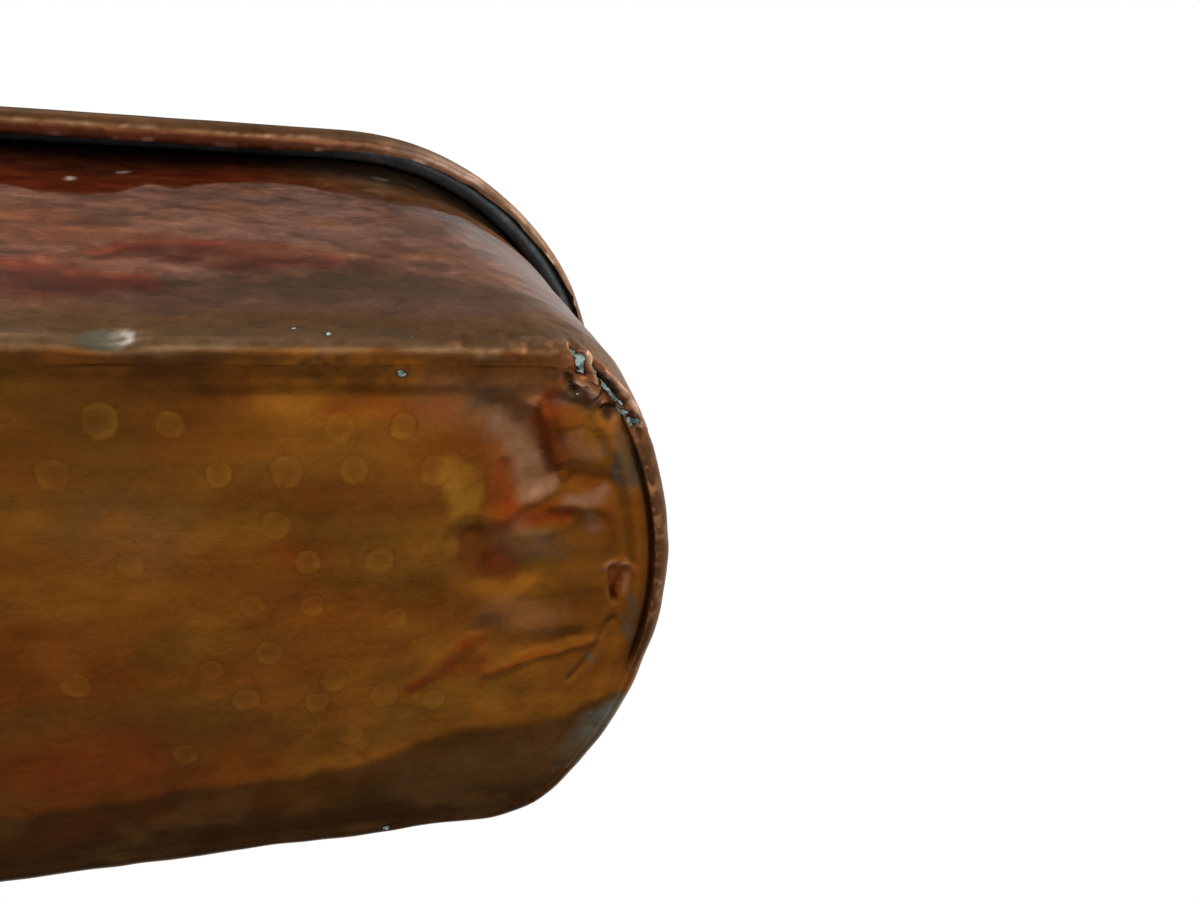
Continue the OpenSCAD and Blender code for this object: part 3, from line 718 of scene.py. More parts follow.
# Heat colours on the base, with painted sheen and highlights on the slopes of the dents: tone, strength,
# softness, then places with half widths
baseStrokes = [
    ("straw", 0.85, 0.4, [(209, -58, 3.5), (213, -53, 4.8), (214.5, -46, 4.2), (214, -40, 3)]),
    ("straw", 0.35, 0.8, [(206, -32, 9), (190, -26, 8)]), ("straw", 0.3, 0.9, [(205, 30, 6), (226, 30, 6)]),
    ("straw", 0.2, 0.9, [(170, 40, 12), (192, 40, 10)]), ("pinkSheen", 0.3, 0.9, [(204, -80, 7), (226, -80, 8)]),
    ("ember", 0.55, 0.9, [(178, -77.5, 3), (205, -77, 3)]),
    ("ember", 0.5, 0.9, [(100, 44, 10), (118, 40, 12)]),
    ("ember", 0.3, 0.9, [(168, -30, 5), (176, -30, 5)]), ("wine", 0.3, 0.9, [(152, -50, 5), (180, -52, 6)]),
    ("wine", 0.3, 0.9, [(200, -66, 4), (216, -66, 5)]),
    ("slate", 0.2, 0.9, [(122, -42, 10), (134, -38, 10)]),
    ("wine", 0.9, 0.4, [(216, -33, 4.5), (219, -27, 7), (223, -23, 7), (227, -19.5, 5.5)]),
    ("ember", 0.6, 0.6, [(225.6, -22, 3.6), (227.6, -20, 3.6)]),
    ("ember", 0.85, 0.6, [(222.8, -58, 2.2), (223.5, -48, 3.8), (225, -36, 4.5)]),
    ("crease", 0.7, 0.6, [(225, -41, 5), (232, -40.5, 4.5), (243, -40.5, 3)]),
    ("ember", 0.95, 0.5, [(231, -38.2, 2.4), (238, -38.2, 2.8), (243.5, -38.7, 2)]),
    ("slate", 0.55, 0.7, [(234.5, -32.8, 2.4), (239, -32.4, 2.4)]),
    ("slate", 0.35, 0.8, [(238, -27, 4), (243, -26, 4)]),
    ("pinkSheen", 0.3, 0.8, [(229, -32, 6), (231, -28, 6)]),
    ("goldDark", 0.6, 0.8, [(245, -32, 5), (258, -30, 6)]),
    ("goldDark", 0.5, 0.9, [(246, -18, 7), (256, -8, 7)]),
    ("slate", 0.5, 0.8, [(216, -79, 5), (222, -72, 6)]),
    ("pinkSheen", 0.5, 0.5, [(222.5, -71, 3.6), (226.8, -65, 5), (230.5, -57.5, 6.4), (233.2, -51, 6.4)]),
    ("pinkSheen", 0.6, 0.7, [(228.5, -62, 3.4), (233, -52, 4.6)]),
    ("foldHighlight", 0.13, 0.9, [(239, -51.5, 1), (237.6, -48.6, 1.4), (233.5, -46.5, 1.1)]),
    ("wine", 0.75, 0.6, [(231, -77, 1.2), (233.8, -67, 1.5), (238, -58, 1.9), (240.6, -52.5, 1.2)]),
    ("ember", 0.75, 0.6, [(234, -79.5, 2.4), (235.5, -70, 3)]),
    ("wine", 0.85, 0.6, [(235.6, -70, 2.6), (237.6, -62, 3), (239.2, -57, 2)]),
    ("slate", 0.8, 0.6, [(240, -79.5, 4), (244.5, -79, 4)]),
    ("groove", 0.5, 0.7, [(236, -68, 0.7), (248.8, -68.9, 0.7)]),
    ("pinkSheen", 0.3, 0.8, [(242, -64, 3), (246, -60, 3), (250, -63, 3)]),
    ("crease", 0.3, 0.6, [(247, -51, 5), (252, -50, 4.5)]),
    ("pinkSheen", 0.5, 0.8, [(243.5, -43.5, 2), (248.8, -42.6, 2.4), (253, -44, 2), (255, -47, 1.4)]),
    ("pinkSheen", 0.4, 0.8, [(251, -37, 2), (253, -34, 2.4)]),
    ("wine", 0.75, 0.6, [(260.4, -18.6, 1.3), (262.3, -12, 1.6), (263, -5, 0.9)]),
    ("ember", 0.5, 0.6, [(264.8, -17.5, 1), (264.2, -10, 1)]),
    ("foldHighlight", 0.16, 0.8,
     [(258.6, -18.6, 0.9), (260.6, -21, 1), (262.4, -19.8, 0.8), (264.8, -20.6, 1)]),
    ("foldHighlight", 0.1, 0.8, [(266.4, -19, 0.9), (266.2, -9, 0.9)]),
    ("slate", 0.75, 0.6, [(253.6, -68, 0.9), (256, -56, 1.1), (258.8, -48, 0.8)]),
    ("stain", 0.8, 0.8, [(256.8, -70, 2.4), (259.6, -61, 3.4), (260.8, -52, 2.4)]),
    ("slate", 0.85, 0.5, [(259, -67, 2.6), (261.5, -58, 3), (263.2, -51, 2)]),
    ("goldLight", 0.5, 0.8, [(262, -46, 3.5), (264, -36, 3.5), (266, -26, 3)]),
    ("slate", 0.5, 0.7, [(268.3, -6, 1.6), (269.2, 6, 2.2), (272, 12, 1.6)]),
    ("pinkSheen", 0.32, 0.9, [(226, -3, 6), (243, 0.5, 5)]), ("wine", 0.3, 0.9, [(208, -6, 6), (220, -4, 6)]),
    ("ember", 0.8, 0.7,
     [(201.3, 23.4, 1.8), (209.5, 18, 2.2), (213.6, 12.2, 2.4), (220, 6.6, 2.4), (223.5, 9, 2)]),
    ("crease", 0.6, 0.8, [(215.5, 16.5, 3.6), (219.6, 16, 4.2), (225, 16, 3)]),
    ("ember", 0.55, 0.6, [(223.3, 26.2, 1), (225.8, 21.6, 1.4), (232.6, 18.3, 1.3), (239.4, 15.3, 1.2)]),
    ("crease", 0.5, 0.7, [(239.4, 15.3, 1.2), (253.2, 14.4, 1.2), (258.9, 11.6, 1)]),
    ("wine", 0.4, 0.9, [(224.2, 2.6, 3), (229.6, 11.6, 3), (237.7, 10.3, 2), (253, 9.4, 1.4)]),
    ("groove", 0.4, 0.7, [(263.5, 1.7, 0.7), (262.8, 8.8, 0.7), (258, 18, 0.7), (251.8, 27.2, 0.6)]),
    ("slate", 0.7, 0.7, [(257.6, 17, 1.1), (259.4, 19, 1.1)]),
    ("straw", 0.5, 0.9, [(-130, 20, 18), (-80, 22, 20)]),
    ("straw", 0.4, 0.9, [(10, -15, 18), (60, -14, 18)]), ("wine", 0.5, 0.9, [(-90, 0, 18), (-40, 2, 18)]),
    ("wine", 0.6, 0.9, [(-205, -52, 16), (-180, -46, 16)]),
    ("ember", 0.5, 0.9, [(-150, -32, 20), (-100, -28, 18)]),
    ("ember", 0.5, 0.9, [(-60, 46, 14), (0, 44, 14)]),
    ("ember", 0.6, 0.9, [(-222, -8, 14), (-220, 44, 14)]),
    ("slate", 0.6, 0.9, [(-262, -46, 6), (-260, -30, 6)]),
    ("pinkSheen", 0.6, 0.8, [(-234, -50, 6), (-239, -30, 6)]),
]
# Painted bluish-grey reflections and a brown patch on the dark back side, in the same form
darkSideStrokes = [
    ("slateReflection", 0.8, 0.85, [(271, 37, 3), (267, 45, 4.5), (262.5, 53, 5), (256, 61, 4)]),
    ("slateReflection", 0.7, 0.8, [(254, 69, 1.4), (260, 66, 1.8), (266, 62.5, 2.2)]),
]
darkSidePatch = ("darkSideBrown", 0.95, 0.9, [(205, 68, 8), (228, 63, 11), (250, 62, 12)])


def baseRelief(flat):
    # how far the base sheet stands above its drawn height, in metres
    rise = sum(high * mm * softNoise(flat, size * mm, seed) for high, size, seed in basePan["uneven"])
    bent = wandered(flat, 0.8 * mm, 9 * mm, 26)
    for x, y, reachX, reachY, push in baseSwells:
        rise += push * mm * spots(bent, [(x, y, reachX, reachY, 1)])
    for push, soft, line in baseDents:
        rise += push * mm * stroke(bent, line, soft)
    for x, y in basePan["planish"]:
        far = np.hypot(flat[:, 0] - x * mm, flat[:, 1] - y * mm) / (basePan["planishReach"] * mm)
        rise += basePan["planishDepth"] * np.clip(1 - far ** 2, 0, 1)
    blows = hammerMarks(flat[:, 0], flat[:, 1], basePan["hammer"], 24)
    rise += basePan["hammerDepth"] * (0.35 - blows)
    return np.maximum(rise, -basePan["deepest"])


def roundMarks(flat):
    # 1 at the edge of the nearest round hammer mark, more inside it and less outside
    x, y = flat[:, 0] / mm, flat[:, 1] / mm
    disc = np.zeros(len(flat))
    for i, (discX, discY) in enumerate(basePan["planish"]):
        reach = basePan["planishReach"] * (0.85 + 0.3 * ((i * 0.61) % 1))
        far = np.hypot((x - discX) / 0.95, (y - discY) / 1.2) / reach
        frayed = 0.1 * softNoise(flat, 3 * mm, 71 + i) + 0.06 * softNoise(flat, 1.3 * mm, 171 + i)
        disc = np.maximum(disc, 2 - far - frayed)
    return disc


def paintBase(points, edgeRun, out, band, groove, inside):
    # edgeRun: way along the surface from the seam; out: the outline's outward direction at each point
    flat = points[:, :2]
    x, y = flat[:, 0] / mm, flat[:, 1] / mm
    brushed = flat / (1.4, 1)
    tint = coat("goldMid", len(flat))
    lighter = cloud(brushed, 42 * mm, 31) + 0.45 * smooth(x, 165, 225) - 0.2 * smooth(x, 150, 100)
    tint = over(tint, "goldDark", 0.65 * smooth(lighter, 0.05, -0.65))
    tint = over(tint, "goldLight", 0.8 * smooth(lighter, 0.1, 0.8))
    tint = over(tint, "redGold", 0.4 * smooth(cloud(brushed, 33 * mm, 35), 0.05, 0.6))
    tint = over(tint, "olive", 0.45 * smooth(cloud(brushed, 26 * mm, 39), 0.1, 0.65))
    mottle = 0.10 * cloud(flat / (7, 1), 5 * mm, 43, 2) + 0.07 * cloud(flat, 9 * mm, 46, 2)
    tint = tint * (1 + mottle)[:, None]
    moved = wandered(wandered(flat, 1.1 * mm, 9 * mm, 51), 0.6 * mm, 3.2 * mm, 61)
    broken = 0.85 + 0.3 * cloud(flat, 6 * mm, 72, 2)
    tint = paintStrokes(tint, baseStrokes, moved, broken)
    # darker towards the back: partly soot and partly painted shade, with painted bluish-grey reflections on
    # it
    past = y + 2.5 * softNoise(flat, 22 * mm, 41) + 1.5 * softNoise(flat, 7 * mm, 42)
    past = past - np.interp(x, *basePan["darkSideEdge"])
    darkSide = smooth(past, -2, 2.5)
    tint = over(tint, "sootAndShade", 0.72 * darkSide + 0.25 * smooth(past, 8, 26))
    tint = over(tint, "darkSideBrown", 0.55 * darkSide * smooth(cloud(brushed, 15 * mm, 44), 0.05, 0.6))
    tint = paintStrokes(tint, darkSideStrokes, moved, darkSide * broken)
    tint = paintStrokes(tint, [darkSidePatch], moved, darkSide)
    grit = coarseGrit(points)
    ends = smooth(np.abs(out[:, 0]), 0.62, 0.86) * (1 - 0.85 * smooth(y, 12, 32) * smooth(x, 0, 100))
    tint = over(tint, "band", band * ends)
    tint = over(tint, "bandWorn", band * ends * smooth(grit, 0.1, 1.1) * bell(edgeRun, -7.5, 3.2))
    tint = over(tint, "groove", 0.95 * groove)
    worn = 0.5 * band * ends * smooth(grit, 0.2, 1.0)
    tint = paintEdge(tint * basePan["lift"], points, edgeRun, out)
    tint, worn, green = paintCorner(tint, worn, points)
    outside = 1 - inside
    marks = {"worn": worn * outside, "green": green * outside, "disc": roundMarks(flat) * outside}
    return {"tint": tinInside(tint, inside, wornTin(flat, 22 * mm, 91)), **marks}


def makeBasePan():
    outline = wholeOutline(frontOutline(basePan["spacing"]))
    count = len(outline["base"])
    radius, sheet = basePan["edgeRadius"], body["baseSheet"]
    lipOut, lipTop, recess = basePan["lipOut"], basePan["lipTop"], basePan["recess"]
    inner = radius - sheet
    arc = np.radians(np.arange(0, 91, 9))
    up = np.tile((0.0, 0.0, 1.0), (count, 1))
    inward = np.concatenate([-outline["normal"], np.zeros((count, 1))], 1)
    columns, ways, kinds, edgeRuns = [], [], [], []

    def inset(distance):
        return outline["base"] - outline["normal"] * distance

    def runAt(distance):
        return radius - radius * math.pi / 2 - distance

    def addRow(flat, z, angle, kind, edgeRun=-40 * mm):
        # kinds: 0 sheet, 1 band, 2 rounded edge, 3 lip and inner edge, 4 inside
        columns.append(np.concatenate([flat, np.full((count, 1), z)], 1))
        ways.append(up * math.cos(angle) + inward * math.sin(angle))
        kinds.append(kind)
        edgeRuns.append(edgeRun)

    rimOfSheet = inset(basePan["inset"])
    widest = np.abs(rimOfSheet[:, 1]).max()
    middle = np.clip(outline["base"][:, 0], -basePan["middle"], basePan["middle"])
    core = np.stack([middle, np.zeros(count)], 1)
    for part in np.linspace(0, 1, basePan["rings"]):
        share = part * (1.35 - 0.35 * part)
        flat = core * (1 - share) + rimOfSheet * share
        addRow(flat, recess, 0, 0, runAt(basePan["inset"]) - (1 - share) * widest)
    for d, z in basePan["lowRows"]:
        addRow(inset(d * mm), z * mm, 0, 1, runAt(d * mm))
    for a in arc:
        flat = inset(radius - radius * math.sin(a))
        addRow(flat, radius - radius * math.cos(a), a, 2, -radius * (math.pi / 2 - a))
    for d, z in ((lipOut, body["seamZ"]), (lipOut, lipTop), (lipOut + sheet, lipTop)):
        addRow(inset(d), z, math.pi / 2, 3)
    for a in arc[::2]:
        z = max(sheet + inner - inner * math.sin(a), basePan["innerLow"])
        addRow(inset(lipOut + sheet + inner - inner * math.cos(a)), z, math.pi / 2 - a, 3)
    for d, z in basePan["innerRows"]:
        addRow(inset(d * mm), z * mm, 0, 3)
    addRow(inset(basePan["inset"] - 0.1 * mm), recess + sheet, 0, 3)
    for share in np.linspace(1, 0, basePan["innerRings"]):
        addRow(core * (1 - share) + rimOfSheet * share, recess + sheet, 0, 4)

    points, way = np.stack(columns, 1), np.stack(ways, 1).reshape(-1, 3)
    shape = points.shape
    rows = shape[1]
    drawn = points.reshape(-1, 3)
    kind, edgeRun = np.tile(kinds, count), np.tile(np.array(edgeRuns) / mm, count)
    out = np.repeat(outline["normal"], rows, 0)
    depth = knockDepth(drawn)
    knockMost = np.where((kind == 1) | (kind == 2), depth, 0).reshape(shape[:2]).max(1)
    onSheet, low, lip, onInside = (kind == k for k in (0, 1, 3, 4))
    ringPart = np.ones(rows)
    ringPart[:basePan["rings"]] = np.linspace(0, 1, basePan["rings"])
    ringPart = np.tile(ringPart, count)[onSheet]
    relief = baseRelief(drawn[onSheet, :2]) * smooth(ringPart, 1.0, 0.9)
    depth[onSheet] = relief + depth[onSheet] * smooth(ringPart, 0.75, 0.95)
    depth[lip] = np.repeat(knockMost, rows)[lip] * smooth(drawn[lip, 2], lipTop * 1.2, 6 * mm)
    flat = drawn[onInside, :2]
    raised = sum(rise * mm * spots(flat, [(*place, 1)]) for rise, *place in basePan["raised"])
    reach = basePan["footReach"]
    stood = np.clip(1.4 * spots(flat, [(x, y, reach, reach, 1) for x, y in basePan["feet"]]), 0, 1)
    depth[onInside] = raised * (1 - stood)

    beatenFlat = smooth(drawn[:, 1], 12 * mm, 32 * mm) * smooth(drawn[:, 0], 0, 0.1)
    ends = smooth(np.abs(out[:, 0]), 0.62, 0.86) * (1 - 0.9 * beatenFlat)
    lowIndex = np.tile(np.arange(rows) - basePan["rings"], count)
    lowReach = np.array([d for d, z in basePan["lowRows"]])
    wornFlat = basePan["wornFlat"] * smooth(lowReach[lowIndex[low]], 5.0, 10.3)
    points = drawn.copy()
    points[low, 2] = wornFlat + (drawn[low, 2] - wornFlat) * ends[low]      # no groove along the worn sides
    points[onSheet, 2] -= basePan["wornDrop"] * ((1 - ends[onSheet]) * smooth(ringPart, 0.72, 1.0))
    points += way * depth[:, None]
    points[:, 2] = np.maximum(points[:, 2], 0)
    band = np.where(low, smooth(lowIndex, 5.5, 7.5), np.where(kind == 2, 1.0, 0.0))
    groove = np.where(low, bell(lowIndex, 3.6, 2.3), 0) * ends
    marks = paintBase(drawn, edgeRun, out, band, groove, kind >= 3)
    return finishMesh(sweepMesh("basePan", points.reshape(shape), True, False, marks))


# Walls: two beaten sheets, rolled outward over the rim wire
wall = {
    "spacing": ([232, 60], [0.65, 1.2], 3.0),
    "backSpacing": ([150], [1.7], 3.0),
    "lowStep": 0.75 * mm, "lowTop": 22 * mm, "rowStep": 1.05 * mm, "innerStep": 8 * mm, "rollRows": 21,
    "hammerLong": 14 * mm, "hammerHigh": 7 * mm, "hammerDepth": 0.25 * mm,
    # where the roll ends: x in mm, degrees below level
    "frontWrap": ([-280, 160, 190, 212, 240, 265, 280], [95, 94, 82, 72, 60, 48, 42]),
    "backWrap": ([-280, 190, 225, 255, 280], [104, 104, 84, 62, 46]),
    "openWrap": 42, "closedWrap": 94, "flare": 0.8 * mm,
    # how far the rim is knocked in at the ends, between which x and which heights, in mm
    "lean": 2.2 * mm, "leanFrom": (205, 262), "leanHeights": (106, 132),
    # painted glints, small bright highlights on the front wall: x, height, reaches in mm, and strength
    "glints": [(107, 106, 1.9, 1.4, 0.7), (118.2, 115, 1.6, 1.3, 0.5), (198.5, 124.5, 3, 1.8, 0.5)],
    # lower edge of the dark band: x and height, in mm
    "bandEdge": ([-280, 78, 89, 98, 112, 120, 124, 128, 137, 147, 166, 178, 202, 230, 280],
                 [103, 102, 98.5, 94.5, 93.5, 96, 100, 104, 102, 108, 112, 108, 100, 101, 103]),
}
# Heat colours on the front wall: tone, strength, softness, then places along and up it with half widths
wallStrokes = [
    ("wallFlame", 0.45, 0.9, [(84, 74, 6), (102, 72, 6), (116, 63, 6)]),
    ("wallOlive", 0.9, 0.9, [(138, 31, 6), (160, 34, 9), (182, 35, 10), (200, 36, 9)]),
    ("wallOlive", 0.5, 0.9, [(100, 24, 3), (130, 22, 3), (170, 22, 5)]),
    ("tan", 0.8, 0.8, [(149, 88, 5), (155, 86, 6)]), ("tan", 0.8, 0.8, [(175, 80, 5), (182, 79, 4)]),
    ("tan", 0.8, 0.8, [(115, 64, 5), (121, 63, 4)]), ("tan", 0.7, 0.8, [(96, 76, 6), (106, 75, 6)]),
    ("tan", 0.7, 0.8, [(152, 103, 4), (159, 103, 4)]),
    ("streak", 0.75, 0.6, [(99, 47.5, 3.5), (107, 47.5, 4)]),
    ("streak", 0.6, 0.7, [(126, 91, 3.5), (135, 91, 3.5)]),
    ("streak", 0.5, 0.7, [(166, 93.5, 5), (174, 93, 5)]),
    ("streak", 0.6, 0.7, [(138, 68, 3.5), (146, 68.5, 3.5)]),
    ("streak", 0.6, 0.7, [(94, 66, 3.5), (103, 66, 3.5)]),
    ("streak", 0.6, 0.7, [(103, 83.5, 4), (111, 83.5, 3)]),
    ("streak", 0.5, 0.7, [(186, 60, 4), (200, 58, 4)]), ("wallRed", 0.5, 0.8, [(180, 50, 4), (196, 47, 4)]),
    ("wallFlame", 1.0, 0.6, [(80, 39, 6), (101, 38, 6.5), (112, 38.5, 6), (126, 37, 4), (134, 34, 3)]),
    ("wallRed", 1.0, 0.55,
     [(80, 31, 7), (101.6, 31, 7), (110, 31, 7), (119, 31, 7), (126, 30.5, 6), (134, 29.5, 5), (141, 27, 3)]),
    ("wallFlame", 0.7, 0.7,
     [(119, 50, 2.5), (128, 56, 4.5), (136.5, 59, 5.4), (144, 58.5, 5.4), (153.5, 57, 5.6), (166.5, 55.5, 5),
      (180, 54, 2.6)]),
    ("wallRed", 0.9, 0.65,
     [(121, 47, 2), (129, 51.5, 4.2), (140.5, 52, 5.6), (153.5, 49.5, 6), (166.5, 48.5, 5.2), (178, 49, 3)]),
]


def paintWall(points, run, height, out, isFront, seed):
    # colour coats along the wall and up it
    x, z = points[:, 0] / mm, height / mm
    lay = np.stack([run, height], 1)
    fine, mid = cloud(lay / (1.6, 1), 5.5 * mm, seed + 1), cloud(lay / (1.6, 1), 16 * mm, seed + 4)
    tint = coat("mauve", len(points))
    tint = over(tint, "tan", 0.85 * smooth(cloud(lay / (2.4, 1), 23 * mm, seed + 7), -0.05, 0.5))
    tint = over(tint, "wallLow", 0.6 * smooth(mid, 0.1, 0.65))
    tint = over(tint, "streak", 0.8 * smooth(fine, 0.05, 0.7))
    if isFront:
        sway = 3 * mm * cloud(lay, 9 * mm, seed + 11, 2), 2 * mm * cloud(lay / (1.4, 1), 8 * mm, seed + 15, 2)
        moved = np.stack([points[:, 0], height], 1) + np.stack(sway, 1)
        tint = paintStrokes(tint, wallStrokes, moved, 0.85 + 0.4 * fine)
    clear = smooth(np.abs(out[:, 0]), 0.99, 0.8)    # 0 at the sheets' seams, so that the colours run across
    far = smooth(x, 92, 70) if isFront else 1.0
    red = smooth(cloud(lay / (3, 1), 26 * mm, seed + 19), 0.2, 0.6)
    tint = over(tint, "wallRed", 0.85 * far * clear * red)
    tint = tint * (1 + 0.10 * fine + 0.06 * mid)[:, None]
    lowTop = 33 - 12 * smooth(x, 150, 125) + 6 * softNoise(lay / (3, 1), 20 * mm, seed + 23)
    tint = over(tint, "wallLow", 0.75 * smooth(z, lowTop + 8, lowTop - 8))
    # painted sheen: a pale grey reflection painted on the corners, strongest at the front's right end
    corner = smooth(np.abs(out[:, 0]) + 0.22 * smooth(z, 55, 95), 0.15, 0.62)
    pale = 0.42 + 0.3 * smooth(-out[:, 1], 0.15, 0.6) * smooth(x, 0, 150)
    tint = over(tint, "sheen", pale * corner * smooth(z, 14, 40) * (0.85 + 0.3 * fine))
    tint = over(tint, "slate", 0.35 * corner * smooth(z, 30, 10))
    tint = over(tint, "band", smooth(np.abs(out[:, 0]), 0.62, 0.86) * smooth(z, 10, 6))
    wavy = np.stack([run, run * 0], 1)
    ragged = 1.2 * softNoise(wavy, 9 * mm, seed + 27) + 0.5 * softNoise(wavy, 3 * mm, seed + 28)
    if not isFront:
        ragged = ragged + 4 * softNoise(wavy, 38 * mm, seed + 29)
    rise = z - (np.interp(x, *wall["bandEdge"]) + ragged * clear) + 1.5 * fine
    # the dark band below the rim: red at its lower edge, dark soot above, and black near the rim, soot and
    # painted shade under the roll
    tint = over(tint, "bandRed", 0.95 * smooth(rise, 0, 1.2))
    tint = over(tint, "bandDark", 0.85 * smooth(rise + 3 * mid, 4, 11))
    tint = over(tint, "blackSootAndShade", 0.9 * smooth(rise, 11, 21))
    glints = 0 * x
    if isFront:
        olive = smooth(rise, 0.5, 4) * smooth(x, 150, 205) * clear
        tint = over(tint, "bandOlive", 0.75 * olive * (0.85 + 0.3 * fine))
        redder = clear * smooth(x, 190, 105)
        tint = tint * np.stack([1 - 0.03 * redder, 1 - 0.2 * redder, 1 - 0.33 * redder], 1)
        # painted glints: small specks of painted highlight
        glints = spots(moved, wall["glints"])
    tint = paintEdge(tint, points, z - body["seamZ"] / mm, out)
    tint = over(tint, "silverHighlight", smooth(glints, 0.1, 0.8))
    return paintCorner(tint, 0.8 * glints, points)


def paintRoll(points, lay, line, x, shoulder, lip):
    # outside of the roll: brown above, a painted highlight line, red below, paler where it opens
    # shoulder: 1 where the roll is open; lip: 0 at its free edge
    def along(values):
        return np.repeat(values, len(points) // len(line))

    grit = softNoise(points, 2.2 * mm, 56) + 0.6 * softNoise(points, 6 * mm, 57)
    tint = coat("rollTop", len(points)) * (1 + 0.16 * cloud(lay / (5, 1), 8 * mm, 58))[:, None]
    lineAt = along(0.165 + 0.02 * softNoise(line, 16 * mm, 59))
    tint = over(tint, "rollHighlightLine", bell(lip, lineAt, 0.02) * (0.5 + 0.5 * grit) * (1 - shoulder))
    tint = over(tint, "rollRed", 0.9 * smooth(lip, 0.15, 0.10) * (1 - 0.6 * shoulder))
    tint = over(tint, "rollPale", 0.75 * shoulder * (0.8 + 0.4 * grit))
    # painted highlights at the shoulder, and dashes of painted highlight along the free edge
    shoulderHighlight = along(bell(x, 228, 18) * smooth(softNoise(line, 9 * mm, 60), -0.7, 0.3))
    tint = over(tint, "foldHighlight", 0.7 * shoulderHighlight * bell(lip, 0.17, 0.05))
    tint = over(tint, "rollShoulderHighlight", 0.85 * shoulderHighlight * bell(lip, 0.09, 0.028) * (0.8 + 0.4 * grit))
    lightAndShadeDash = along(smooth(softNoise(line, 5 * mm, 62), 0.2, 0.8))
    return over(tint, "foldHighlight", bell(lip, 0.015, 0.025) * lightAndShadeDash * (0.2 + 0.6 * shoulder))


def endLean(x):
    # how far the rim is knocked in, for x along the kettle in mm
    return wall["lean"] * smooth(np.abs(x), *wall["leanFrom"])


